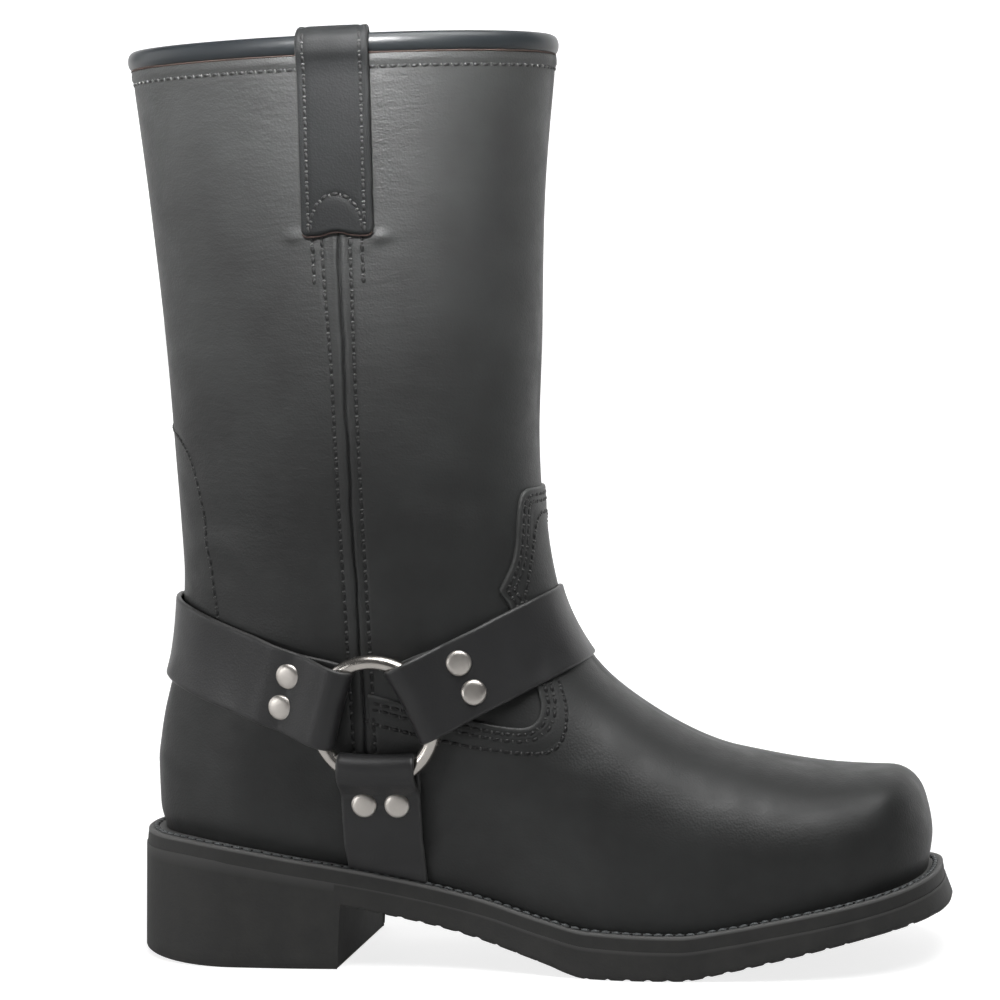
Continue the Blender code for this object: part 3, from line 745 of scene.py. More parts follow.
def skin_path(places, sides, spacing):
    """Rows and turns at even spacing along a curve through side-view places, carried on to a second side."""
    fine = curve_through(places)
    row, turn = locate(fine[:, 0], fine[:, 1], sides[0])
    if len(sides) == 2:
        row = np.concatenate([row, row[::-1]])
        turn = np.concatenate([turn, 2 * math.pi - turn[::-1]])
        if places[0][0] > places[-1][0]:
            raise ValueError("a path over the front starts behind it")
    length = run_length(skin(row, turn))
    at = np.linspace(0.0, length[-1], max(2, int(round(length[-1] / spacing)) + 1))
    return np.interp(at, length, row), np.interp(at, length, turn)


def beside(row, turn, inward):
    """Rows and turns moved sideways from a path over the outer face, to the right of its way forward."""
    up, around = skin_slopes(row, turn)
    ahead = unit(np.gradient(skin(row, turn), axis=0))
    right = unit(np.cross(ahead, skin_normal(row, turn)))
    uu, ua, aa = (up * up).sum(-1), (up * around).sum(-1), (around * around).sum(-1)
    to_up, to_around = (up * right).sum(-1), (around * right).sum(-1)
    whole = uu * aa - ua * ua
    row_step = inward * (aa * to_up - ua * to_around) / whole
    turn_step = inward * (uu * to_around - ua * to_up) / whole
    return row + row_step, turn + turn_step


def within(points, corners):
    """Which of some points lie inside a polygon, both in two dimensions."""
    inside = np.zeros(len(points), bool)
    for (ax, ay), (bx, by) in zip(corners, np.roll(corners, -1, axis=0)):
        crosses = (ay > points[:, 1]) != (by > points[:, 1])
        rise = by - ay if by != ay else 1.0
        inside ^= crosses & (points[:, 0] < ax + (points[:, 1] - ay) * (bx - ax) / rise)
    return inside


def distance_to(points, line):
    """Distance from each point to the nearest point of a closely spaced line."""
    tree = kdtree.KDTree(len(line))
    for k, place in enumerate(line):
        tree.insert(place, k)
    tree.balance()
    return np.array([tree.find(point)[2] for point in points])


def vamp_cover(points):
    """How far each point of the outer face lies under the vamp, negative outside its edge."""
    edge = skin(*skin_path(VAMP_EDGE, (LATERAL, MEDIAL), VAMP_SPACING))
    reach = distance_to(points, edge)
    ahead = [(BEYOND_TOE_X, VAMP_EDGE[-1][1]), (BEYOND_TOE_X, 0.0), (SEAM_X, 0.0)]
    corners = np.vstack([curve_through(VAMP_EDGE), ahead])
    return np.where(within(points[:, [0, 2]], corners), reach, -reach)


def soft_waves(x, z, side):
    """Slow unevenness of the leather, a fraction of a millimetre."""
    height, long, tall, turn, rise = CROSSED_WAVE
    waves = height * np.sin(x / long + turn * side) * np.sin(z / tall + rise)
    for height, long, tall, turn in SLANTED_WAVES:
        waves = waves + height * np.sin(x / long + z / tall + turn * side)
    return waves


def crease(x, z, start, end, half, depth):
    """Soft trough with raised lips along a line in side view, fading out at its ends."""
    start, end = np.array(start), np.array(end)
    way = end - start
    length = np.hypot(*way)
    way = way / length
    along = (x - start[0]) * way[0] + (z - start[1]) * way[1]
    off = -(x - start[0]) * way[1] + (z - start[1]) * way[0]
    end_long = CREASE_FADE * length
    fade = smoothstep(0.0, end_long, along) * smoothstep(0.0, end_long, length - along)
    return depth * fade * (CREASE_LIP * hump(np.abs(off) - CREASE_LIP_AT * half, half) - hump(off, half))


def seam_rows(z):
    """Distance of the stitch rows behind and in front of the side seam."""
    spread = SEAM_ROW_SPREAD * smoothstep(*SEAM_ROW_SPREAD_Z, z)
    return SEAM_ROW_BEHIND + spread, SEAM_ROW_AHEAD + SEAM_ROW_SPREAD_AHEAD * spread


def relief(points, side):
    """How far the leather stands out from the upper's outer face."""
    x, z = points[:, 0], points[:, 2]
    off = x - SEAM_X
    lap = np.where(off > 0.0, smoothstep(*SEAM_LAP, off), 0.0)
    rise = VAMP_THICK * smoothstep(*VAMP_RAMP, vamp_cover(points)) * lap
    wander = SEAM_WANDER * (np.sin(z / SEAM_WAVES[0]) + SEAM_SECOND_WAVE * np.sin(z / SEAM_WAVES[1]))
    rise += SEAM_ROLL * hump(np.abs(off) - SEAM_ROLL_AT, SEAM_ROLL_HALF)
    rise -= SEAM_DEPTH * hump(off - wander, SEAM_HALF)
    behind, ahead = seam_rows(z)
    rise -= ROW_TROUGH * (hump(off + behind, ROW_TROUGH_HALF) + hump(off - ahead, ROW_TROUGH_HALF))
    rise += COLLAR_PUFF * hump(z - (COLLAR_ROW_Z + COLLAR_TOP_Z) / 2, COLLAR_PUFF_HALF)
    rise -= ROW_TROUGH * hump(z - COLLAR_ROW_Z, ROW_TROUGH_HALF)
    rise += soft_waves(x, z, side)
    for start, end, half, depth in CREASES:
        rise += crease(x, z, start, end, half, depth)
    for (at_x, at_z), height in PUCKERS:
        rise += height * hump(x - at_x, PUCKER_LONG) * hump(z - at_z, PUCKER_TALL)
    return rise


def grid_faces(rows, columns, wrap=False):
    """Quads over a grid of points, closed round its columns if wrap is set."""
    i = np.arange(rows - 1)[:, None]
    j = np.arange(columns if wrap else columns - 1)[None, :]
    a = i * columns + j
    b = i * columns + (j + 1) % columns
    return np.stack([a, b, b + columns, a + columns], axis=-1).reshape(-1, 4)


def grid(points, wrap=False):
    """Vertices and faces of a grid of points."""
    return points.reshape(-1, 3), grid_faces(*points.shape[:2], wrap)


def add_piece(name, vertices, faces, material, body="boot", slot=None, replaces=(), sharp=None, wear_and_highlight=None):
    """Mesh piece from points in millimetres: welded, turned outward, smooth, and riding on its body."""
    mesh = bpy.data.meshes.new(name)
    moved = (np.asarray(vertices, float) - (X_MIDDLE, Y_MIDDLE, 0.0)) * MM
    mesh.from_pydata(moved.tolist(), [], np.asarray(faces).tolist())
    if wear_and_highlight is not None:
        shares = mesh.attributes.new("wear_and_highlight", "FLOAT", "POINT")
        shares.data.foreach_set("value", np.asarray(wear_and_highlight, np.float32).ravel())
    shape = bmesh.new()
    shape.from_mesh(mesh)
    bmesh.ops.remove_doubles(shape, verts=shape.verts, dist=WELD * MM)
    bmesh.ops.recalc_face_normals(shape, faces=shape.faces)
    shape.to_mesh(mesh)
    shape.free()
    mesh.shade_smooth()
    if sharp is not None:
        mesh.set_sharp_from_angle(angle=math.radians(sharp))
    piece = bpy.data.objects.new(name, mesh)
    bpy.context.scene.collection.objects.link(piece)
    mesh.materials.append(materials[material])
    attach(piece, body)
    if replaces:
        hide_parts(*replaces)
    return piece


def rounding(share, half, radius):
    """Share of the full thickness left near the edges of a band with rounded edges."""
    into = np.clip(1.0 - half * (1.0 - np.abs(share)) / radius, 0.0, 1.0)
    return np.sqrt(1.0 - into ** 2)


def edge_wear(share, half, reach, rows):
    """Wear of a band's two faces, strongest along its edges."""
    wear_and_glint = hump(half * (1.0 - np.abs(share)), reach)
    return np.tile(wear_and_glint, 2 * rows)


def edge_shares(count):
    """Places across a band from -1 to 1, closer together at its edges."""
    return np.sin(np.linspace(-math.pi / 2, math.pi / 2, count))


def band(centres, thick):
    """Vertices and faces of a leather band round a grid of centre points, with a thickness at each point."""
    normal = unit(np.cross(np.gradient(centres, axis=0), np.gradient(centres, axis=1)))
    over = centres + normal * thick[..., None] / 2
    under = centres - normal * thick[..., None] / 2
    rows, columns = thick.shape
    faces = grid_faces(rows, columns)
    shift = rows * columns
    caps = []
    for row in (0, rows - 1):
        a = row * columns + np.arange(columns - 1)
        caps.append(np.stack([a, a + 1, a + 1 + shift, a + shift], axis=-1))
    vertices = np.vstack([over.reshape(-1, 3), under.reshape(-1, 3)])
    return vertices, np.vstack([faces, faces[:, ::-1] + shift] + caps)


# Studio: camera, floor and lights

def aim_camera():
    """Camera at the photograph's angle, rolled as it was held."""
    turn, pitch, roll = (math.radians(v) for v in (CAMERA_AZIMUTH, CAMERA_PITCH, CAMERA_ROLL))
    back = Vector((math.sin(turn) * math.cos(pitch), -math.cos(turn) * math.cos(pitch), math.sin(pitch)))
    level = Vector((math.cos(turn), math.sin(turn), 0.0))
    upright = back.cross(level)
    right = level * math.cos(roll) + upright * math.sin(roll)
    up = upright * math.cos(roll) - level * math.sin(roll)
    target = Vector(CAMERA_TARGET) - Vector((X_MIDDLE, Y_MIDDLE, 0.0))
    data = bpy.data.cameras.new("camera")
    data.lens = CAMERA_LENS
    data.sensor_width = 36.0
    data.clip_start = 0.05
    camera = bpy.data.objects.new("camera", data)
    bpy.context.scene.collection.objects.link(camera)
    placed = Matrix((right, up, back)).transposed().to_4x4()
    placed.translation = (target + back * CAMERA_DISTANCE) * MM
    camera.matrix_world = placed
    bpy.context.scene.camera = camera


def add_light(name, place, aim, size, power, spread):
    """Soft rectangular light in metres, turned to face a point, with its beam's spread in degrees."""
    data = bpy.data.lights.new(name, "AREA")
    data.shape = "RECTANGLE"
    data.size, data.size_y = size
    data.energy = power
    data.spread = math.radians(spread)
    light = bpy.data.objects.new(name, data)
    light.visible_camera = False
    light.location = place
    light.rotation_mode = "QUATERNION"
    light.rotation_quaternion = (Vector(aim) - Vector(place)).to_track_quat("-Z", "Y")
    bpy.context.scene.collection.objects.link(light)


def add_stage(name, corners, faces, seen):
    """Flat pale surfaces of the studio, either seen by the camera or lighting the boot."""
    mesh = bpy.data.meshes.new(name)
    mesh.from_pydata(corners, [], faces)
    mesh.materials.append(materials[name])
    piece = bpy.data.objects.new(name, mesh)
    piece.visible_camera = seen
    for rays in ("diffuse", "glossy", "transmission", "shadow"):
        setattr(piece, "visible_" + rays, not seen)
    bpy.context.scene.collection.objects.link(piece)


def set_studio():
    """Pale floor and surround, cards, dim sky, and soft lights."""
    far = STAGE_HALF
    ground = [(-far, -far), (far, -far), (far, far), (-far, far)]
    low = [(x, y, 0.0) for x, y in ground]
    high = [(x, y, far) for x, y in ground]
    below = [(x, y, -CARD_DROP) for x, y in ground]
    wide, away, tall = BACK_CARD
    behind = [(-wide, away, 0.0), (wide, away, 0.0), (wide, away, tall), (-wide, away, tall)]
    add_stage("floor", low, [range(4)], seen=True)
    walls = [(i, (i + 1) % 4, (i + 1) % 4 + 4, i + 4) for i in range(4)]
    add_stage("surround", low + high, walls, seen=True)
    add_stage("low_card", below, [range(4)], seen=False)
    add_stage("back_card", behind, [range(4)], seen=False)
    world = bpy.data.worlds.new("surroundings")
    world.use_nodes = True
    sky = world.node_tree.nodes["Background"]
    sky.inputs["Color"].default_value = WHITE
    sky.inputs["Strength"].default_value = WORLD_GLOW
    bpy.context.scene.world = world
    bpy.context.scene.view_settings.view_transform = "Standard"
    for light in LIGHTS:
        add_light(*light)


# Materials

def new_material(name):
    """Material with its node tree and its shader."""
    made = bpy.data.materials.new(name)
    made.use_nodes = True
    return made, made.node_tree, made.node_tree.nodes["Principled BSDF"]


def add_node(tree, kind, values=None, links=None, **settings):
    """Node with its settings, socket values and incoming links."""
    node = tree.nodes.new(kind)
    for key, value in settings.items():
        setattr(node, key, value)
    for key, value in (values or {}).items():
        node.inputs[key].default_value = value
    for key, source in (links or {}).items():
        tree.links.new(source, node.inputs[key])
    return node


def noise(tree, place, size_mm, detail=3.0, rough=0.55, stretch=None):
    """Noise whose features are about a size in millimetres."""
    if stretch:
        place = add_node(tree, "ShaderNodeMapping", {"Scale": stretch}, {"Vector": place}).outputs["Vector"]
    values = {"Scale": 1.0 / (size_mm * MM), "Detail": detail, "Roughness": rough}
    return add_node(tree, "ShaderNodeTexNoise", values, {"Vector": place}).outputs["Fac"]


def ranged(tree, source, low, high, to_low, to_high):
    """Source values from low to high, carried to another range and held there."""
    values = {"From Min": low, "From Max": high, "To Min": to_low, "To Max": to_high}
    return add_node(tree, "ShaderNodeMapRange", values, {"Value": source}).outputs["Result"]


def product(tree, first, second):
    """Two sources multiplied."""
    return add_node(tree, "ShaderNodeMath", {}, {0: first, 1: second}, operation="MULTIPLY").outputs["Value"]


def object_place(tree):
    """Place on the object, in metres."""
    return add_node(tree, "ShaderNodeTexCoord").outputs["Object"]


def part_of_place(tree, place, axis):
    """One coordinate of a place."""
    return add_node(tree, "ShaderNodeSeparateXYZ", {}, {"Vector": place}).outputs[axis]


def wear_and_highlight_share(tree):
    """Wear, and painted highlight, that a piece's mesh carries."""
    return add_node(tree, "ShaderNodeAttribute", attribute_name="wear_and_highlight").outputs["Fac"]


def blended(tree, factor, first, second):
    """Mix of two colours, each a socket or a plain colour."""
    node = add_node(tree, "ShaderNodeMix", data_type="RGBA")
    tree.links.new(factor, node.inputs["Factor"])
    for key, colour in (("A", first), ("B", second)):
        socket = next(s for s in node.inputs if s.name == key and s.type == "RGBA")
        if isinstance(colour, tuple):
            socket.default_value = (*colour, 1.0)
        else:
            tree.links.new(colour, socket)
    return next(s for s in node.outputs if s.type == "RGBA")


def bumped(tree, height, depth_mm, strength, under=None):
    """Normal bumped by a height of a depth in millimetres, on top of another normal."""
    links = {"Height": height}
    if under is not None:
        links["Normal"] = under
    values = {"Distance": depth_mm * MM, "Strength": strength}
    return add_node(tree, "ShaderNodeBump", values, links).outputs["Normal"]


def leather(name, dark, light, wear_and_glint, rough, grain_mm, grain_depth, crinkle_depth):
    """Oiled leather: mottled colour, pores, crinkles that are fuller up the shaft, and lighter worn edges."""
    made, tree, shader = new_material(name)
    place = object_place(tree)
    mottle = noise(tree, place, size_mm=38.0)
    cloud = noise(tree, place, size_mm=9.0, detail=4.0)
    colour = blended(tree, ranged(tree, mottle, 0.32, 0.68, 0.0, 1.0), dark, light)
    rubbed = product(tree, wear_and_highlight_share(tree), ranged(tree, cloud, 0.3, 0.7, 0.35, 1.0))
    tree.links.new(blended(tree, rubbed, colour, wear_and_glint), shader.inputs["Base Color"])
    tree.links.new(ranged(tree, cloud, 0.25, 0.75, *rough), shader.inputs["Roughness"])
    pores = add_node(tree, "ShaderNodeTexVoronoi", {"Scale": 1.0 / (grain_mm * MM), "Randomness": 1.0},
                     {"Vector": place}, feature="F1").outputs["Distance"]
    crinkle = noise(tree, place, size_mm=9.0, detail=7.0, rough=0.66, stretch=(0.6, 0.6, 1.8))
    fuller = ranged(tree, part_of_place(tree, place, "Z"), *CRINKLE_Z, CRINKLE_LEAST, 1.0)
    surface = bumped(tree, product(tree, crinkle, fuller), crinkle_depth, 1.0)
    surface = bumped(tree, pores, grain_depth, 1.0, surface)
    tree.links.new(surface, shader.inputs["Normal"])
    shader.inputs["Specular IOR Level"].default_value = SHINES.get(name, PLAIN_SHINE)
    shader.inputs["Coat Weight"].default_value = COATS.get(name, 0.0)
    shader.inputs["Coat Roughness"].default_value = 0.28
    return made


def waxed_thread(name, dark, light):
    """Waxed thread with its twist."""
    made, tree, shader = new_material(name)
    place = object_place(tree)
    twist = noise(tree, place, size_mm=0.5, detail=1.0)
    tree.links.new(blended(tree, twist, dark, light), shader.inputs["Base Color"])
    tree.links.new(bumped(tree, twist, 0.12, 1.0), shader.inputs["Normal"])
    shader.inputs["Roughness"].default_value = 0.5
    return made


def moulded_rubber():
    """Dull black rubber with a fine moulded skin and some dust, paler where its mesh carries a painted
    highlight.
    """
    made, tree, shader = new_material("rubber")
    place = object_place(tree)
    dust = noise(tree, place, size_mm=14.0, detail=6.0, rough=0.65)
    fine = noise(tree, place, size_mm=0.9, detail=2.0)
    dusty = ranged(tree, dust, 0.4, 0.75, 0.0, 1.0)
    colour = blended(tree, dusty, (0.030, 0.030, 0.029), (0.047, 0.046, 0.044))
    # Pale rubber colour where the mesh carries it: painted highlight on the welt's top and along the sole's
    # join
    tree.links.new(blended(tree, wear_and_highlight_share(tree), colour, (0.15, 0.15, 0.147)), shader.inputs["Base Color"])
    tree.links.new(ranged(tree, dust, 0.3, 0.7, 0.58, 0.74), shader.inputs["Roughness"])
    tree.links.new(bumped(tree, fine, 0.10, 0.8, bumped(tree, dust, 0.35, 0.8)), shader.inputs["Normal"])
    return made


def satin_nickel(name, rough):
    """Satin nickel plate with faint rubbing marks."""
    made, tree, shader = new_material(name)
    place = object_place(tree)
    cloud = noise(tree, place, size_mm=4.0, detail=4.0)
    marks = noise(tree, place, size_mm=0.7, stretch=(1.0, 1.0, 4.0))
    colour = blended(tree, cloud, (0.70, 0.660, 0.615), (0.86, 0.815, 0.765))
    tree.links.new(colour, shader.inputs["Base Color"])
    tree.links.new(ranged(tree, cloud, 0.3, 0.7, *rough), shader.inputs["Roughness"])
    tree.links.new(bumped(tree, marks, 0.02, 0.6), shader.inputs["Normal"])
    shader.inputs["Metallic"].default_value = 1.0
    return made


def studio_white(name):
    """Matte white that glows."""
    made, tree, shader = new_material(name)
    shader.inputs["Base Color"].default_value = (0.50, 0.50, 0.50, 1.0)
    shader.inputs["Roughness"].default_value = 0.9
    shader.inputs["Emission Color"].default_value = WHITE
    return made, tree, shader


def even_white(name, glow):
    """Matte white with one glow all over."""
    made, tree, shader = studio_white(name)
    shader.inputs["Emission Strength"].default_value = glow
    return made


def pale_floor():
    """Matte white whose glow grows to the surround's away from the boot."""
    made, tree, shader = studio_white("floor")
    place = object_place(tree)
    away = add_node(tree, "ShaderNodeVectorMath", {}, {0: place}, operation="LENGTH").outputs["Value"]
    tree.links.new(ranged(tree, away, *FLOOR_FADE, *FLOOR_GLOW), shader.inputs["Emission Strength"])
    return made


def low_card_white():
    """Matte white that glows less in front of the boot than behind it."""
    made, tree, shader = studio_white("low_card")
    place = object_place(tree)
    glow = ranged(tree, part_of_place(tree, place, "Y"), *LOW_CARD_FADE_Y, *LOW_CARD_GLOW)
    tree.links.new(glow, shader.inputs["Emission Strength"])
    return made


materials = {
    **{name: leather(name, *look) for name, look in LEATHERS.items()},
    "thread": waxed_thread("thread", (0.006, 0.006, 0.006), (0.016, 0.016, 0.016)),
    "welt_thread": waxed_thread("welt_thread", (0.075, 0.082, 0.085), (0.140, 0.150, 0.152)),
    "rubber": moulded_rubber(),
    "ring_nickel": satin_nickel("ring_nickel", (0.20, 0.29)),
    "rivet_nickel": satin_nickel("rivet_nickel", (0.36, 0.46)),
    "floor": pale_floor(),
    "surround": even_white("surround", SURROUND_GLOW),
    "low_card": low_card_white(),
    "back_card": even_white("back_card", BACK_CARD_GLOW),
}


# Upper, lining and vamp

def even_rows(count):
    """Section rows at about even distances up the boot."""
    rows = np.linspace(0.0, COLLAR, ROW_SAMPLES)
    lengths = [run_length(upper_surface(rows, along, LATERAL)) for along in ROW_LINES]
    mean = np.mean(lengths, axis=0)
    return np.interp(np.linspace(0.0, mean[-1], count), mean, rows)


def seam_turn(rows):
    """Turn at which the side seam lies in each row."""
    size = section_sizes(rows)
    return np.arccos(1.0 - 2.0 * (SEAM_X - size["back_x"]) / (size["front_x"] - size["back_x"]))


def closing(count):
    """Shares from 0 to 1 that start close together."""
    t = np.linspace(0.0, 1.0, count + 1)
    return SEAM_CLOSENESS * t + (1.0 - SEAM_CLOSENESS) * t ** CLOSING_POWER


def build_upper():
    """Outer face of shaft and foot as one mesh whose columns follow the side seams."""
    rows = even_rows(SKIN_ROWS)
    at_seam = seam_turn(rows)[:, None]
    behind = at_seam * (1.0 - closing(COLUMNS_BEHIND)[::-1])
    ahead = at_seam + (math.pi - at_seam) * closing(COLUMNS_AHEAD)[1:]
    lateral = np.hstack([behind, ahead])
    turn = np.hstack([lateral, 2 * math.pi - lateral[:, -2:0:-1]])
    row = np.broadcast_to(rows[:, None], turn.shape)
    points = skin(row, turn)
    rise = relief(points.reshape(-1, 3), side_of(turn.ravel())).reshape(turn.shape)
    points = points + skin_normal(row, turn) * rise[..., None]
    points[0, :, 2] -= SKIN_SUNK
    add_piece("upper_leather", *grid(points, wrap=True), "upper_leather", slot="upper_leather",
              replaces=("upper",))


def build_lining():
    """Inner face of the upper, a wall's thickness inside it."""
    rows = even_rows(LINING_ROWS)
    row, turn = np.meshgrid(rows, turns(LINING_AROUND), indexing="ij")
    points = skin(row, turn) - skin_normal(row, turn) * WALL
    add_piece("lining", *grid(points, wrap=True), "lining_leather", slot="upper_leather")


def build_vamp_edge():
    """Cut edge of the vamp, a strip that merges into the outer face away from the edge."""
    row, turn = skin_path(VAMP_EDGE, (LATERAL, MEDIAL), VAMP_SPACING)
    columns = []
    for inward, height in VAMP_STRIP:
        moved = beside(row, turn, inward)
        columns.append(skin(*moved) + skin_normal(*moved) * height)
    points = np.stack(columns, axis=1)
    points[..., 0] = np.maximum(points[..., 0], VAMP_EDGE[0][0])
    wear_and_glint = np.tile(hump(VAMP_STRIP[:, 0] - VAMP_WORN_AT, VAMP_WORN_HALF), len(points))
    add_piece("vamp_edge", *grid(points), "upper_leather", slot="upper_leather", wear_and_highlight=wear_and_glint)


# Stitching

def stitch_shape():
    """Points and faces of one stitch of unit length, width and height, with its ends sunk."""
    s = np.linspace(-1.0, 1.0, STITCH_RINGS)[:, None]
    angle = turns(STITCH_SIDES)[None, :]
    fat = np.sqrt(np.clip(1.0 - s ** 4, 0.0, 1.0)) + STITCH_TIP
    height = fat * np.sin(angle) / 2 - STITCH_SINK * s ** 2
    return grid(np.stack([s / 2 + 0.0 * angle, fat * np.cos(angle) / 2, height], axis=-1), wrap=True)


def sew(name, rows, kind, material="thread"):
    """One joined mesh of stitches along rows of evenly spaced points with normals."""
    shape, faces = stitch_shape()
    size = STITCH_SHAPE[kind]
    random = np.random.default_rng(STITCH_SEED)
    vertices = []
    for points, normals in rows:
        ahead = unit(np.gradient(points, axis=0))
        across = unit(np.cross(normals, ahead))
        lean = random.normal(STITCH_LEAN, STITCH_LEAN_VARIES, len(points))[:, None]
        ahead, across = unit(ahead + across * lean), unit(across - ahead * lean)
        long, wide, tall = (shape * size).T[:, None, :, None]
        vertices.append(points[:, None] + ahead[:, None] * long + across[:, None] * wide
                        + normals[:, None] * tall)
    vertices = np.vstack(vertices)
    starts = np.arange(len(vertices))[:, None, None] * len(shape)
    add_piece(name, vertices.reshape(-1, 3), (faces[None] + starts).reshape(-1, 4), material)


def between(rows):
    """Places halfway between the stitches of some rows."""
    halfway = []
    for points, normals in rows:
        halfway.append(((points[:-1] + points[1:]) / 2, unit(normals[:-1] + normals[1:])))
    return halfway


def sew_with_lips(name, rows):
    """Stitches, and the leather pulled up into a small lip between each stitch and the next, coloured far
    lighter than the upper as a painted highlight.
    """
    sew(name, rows, "fine")
    sew(name + "_lips", between(rows), "lip", "painted_highlight_leather")


def row_on_skin(row, turn):
    """Stitch row on the leather along a path over the outer face."""
    points, normal = skin(row, turn), skin_normal(row, turn)
    return points + normal * relief(points, side_of(turn))[:, None], normal


def sew_upper():
    """Stitch rows of the side seams, vamp, counter and collar."""
    rows = []
    for side in SIDES.values():
        z = np.arange(seat(SEAM_X)[0] + SEAM_ROW_OFF_WELT, PULL_LOW_Z + SEAM_ROW_PAST_PULL, FINE_PITCH)
        behind, ahead = seam_rows(z)
        rows.append(row_on_skin(*locate(SEAM_X - behind, z, side)))
        rows.append(row_on_skin(*locate(SEAM_X + ahead, z, side)))
        short = np.arange(*(PULL_LOW_Z + end for end in SHORT_ROWS_ENDS), FINE_PITCH)
        for off in SHORT_ROWS_OFF:
            rows.append(row_on_skin(*locate(SEAM_X + off, short, side)))
        rows.append(row_on_skin(*skin_path(COUNTER_ROW[::-1], (side,), FINE_PITCH)))
    edge = skin_path(VAMP_EDGE, (LATERAL, MEDIAL), FINE_PITCH)
    for inward in VAMP_ROWS_IN:
        row, turn = beside(*edge, inward)
        normal = skin_normal(row, turn)
        points = skin(row, turn) + normal * np.interp(inward, *VAMP_STRIP.T)
        rows.append((points[1:-1], normal[1:-1]))
    rows.append(row_on_skin(*skin_path(THIRD_ROW, (LATERAL, MEDIAL), FINE_PITCH)))
    top_step = np.diff(SECTIONS[-2:, SECTION_COLUMNS.index("back_z")])[0]
    row = np.full(COLLAR_SAMPLES, COLLAR - (COLLAR_TOP_Z - COLLAR_ROW_Z) / top_step)
    turn = np.linspace(0.0, 2 * math.pi, COLLAR_SAMPLES)
    length = run_length(skin(row, turn))
    at = np.arange(0.0, length[-1], FINE_PITCH)
    rows.append(row_on_skin(row[:len(at)], np.interp(at, length, turn)))
    sew_with_lips("upper_stitches", rows)


# Collar bead and pull straps

def tube(line, radius, sides=8):
    """Vertices and faces of a thin round tube along a line of points."""
    ahead = unit(np.gradient(line, axis=0))
    first = unit(np.cross(ahead, TUBE_START))
    second = np.cross(ahead, first)
    angle = turns(sides)[None, :, None]
    points = line[:, None] + radius * (np.cos(angle) * first[:, None] + np.sin(angle) * second[:, None])
    return grid(points, wrap=True)


def build_bead():
    """Rolled bead on the upper's top edge, and the cut edge that shows under it."""
    rim = skin(np.full(BEAD_AROUND, COLLAR), turns(BEAD_AROUND))
    ahead = np.roll(rim, -1, axis=0) - np.roll(rim, 1, axis=0)
    outward = unit(np.stack([ahead[:, 1], -ahead[:, 0], np.zeros(BEAD_AROUND)], axis=1))
    outward *= np.sign((outward * (rim - rim.mean(axis=0))).sum(axis=1))[:, None]
    cut = np.vstack([rim, rim[:1]]) + (0.0, 0.0, CUT_EDGE)
    add_piece("collar_cut_edge", *tube(cut, CUT_EDGE), "raw_edge", slot="upper_leather")
    middle = rim - outward * WALL / 2
    middle[:, 2] += GAP + BEAD_HEIGHT / 2
    angle = turns(BEAD_SIDES)
    squared = np.sign(np.cos(angle)) * np.abs(np.cos(angle)) ** BEAD_ROUND_POWER
    points = (middle[:, None] + outward[:, None] * squared[None, :, None] * BEAD_THICK / 2
              + np.array([0.0, 0.0, BEAD_HEIGHT / 2]) * np.sin(angle)[None, :, None])
    points = np.concatenate([points, points[:1]])
    add_piece("bead", *grid(points, wrap=True), "collar_leather", slot="collar_leather",
              replaces=("collar_bead",))


def pull_points(side, z, across, out):
    """Points over the outer face at heights and places across a pull strap, moved out from the face."""
    rim = SECTIONS[-1][SECTION_COLUMNS.index("back_z")]
    x = PULL_LOW_X + (PULL_TOP_X - PULL_LOW_X) * (z - PULL_LOW_Z) / (rim - PULL_LOW_Z) + across
    held = np.minimum(z, rim - PULL_BELOW_RIM)
    right = upper_at(x + 1.0, held, side) - upper_at(x - 1.0, held, side)
    normal = -side * unit(np.cross(right, np.array([0.0, 0.0, 1.0])))
    points = upper_at(x, held, side) + normal * out[..., None]
    points[..., 2] += z - held
    return points, normal


def pull_end(across):
    """Height of a pull strap's lower end: round corners and a notch over the seam."""
    into = np.clip(np.abs(across) - (PULL_HALF - PULL_CORNER), 0.0, PULL_CORNER)
    corner = PULL_CORNER - np.sqrt(PULL_CORNER ** 2 - into ** 2)
    return PULL_LOW_Z + corner + PULL_NOTCH * hump(across, PULL_NOTCH_HALF)


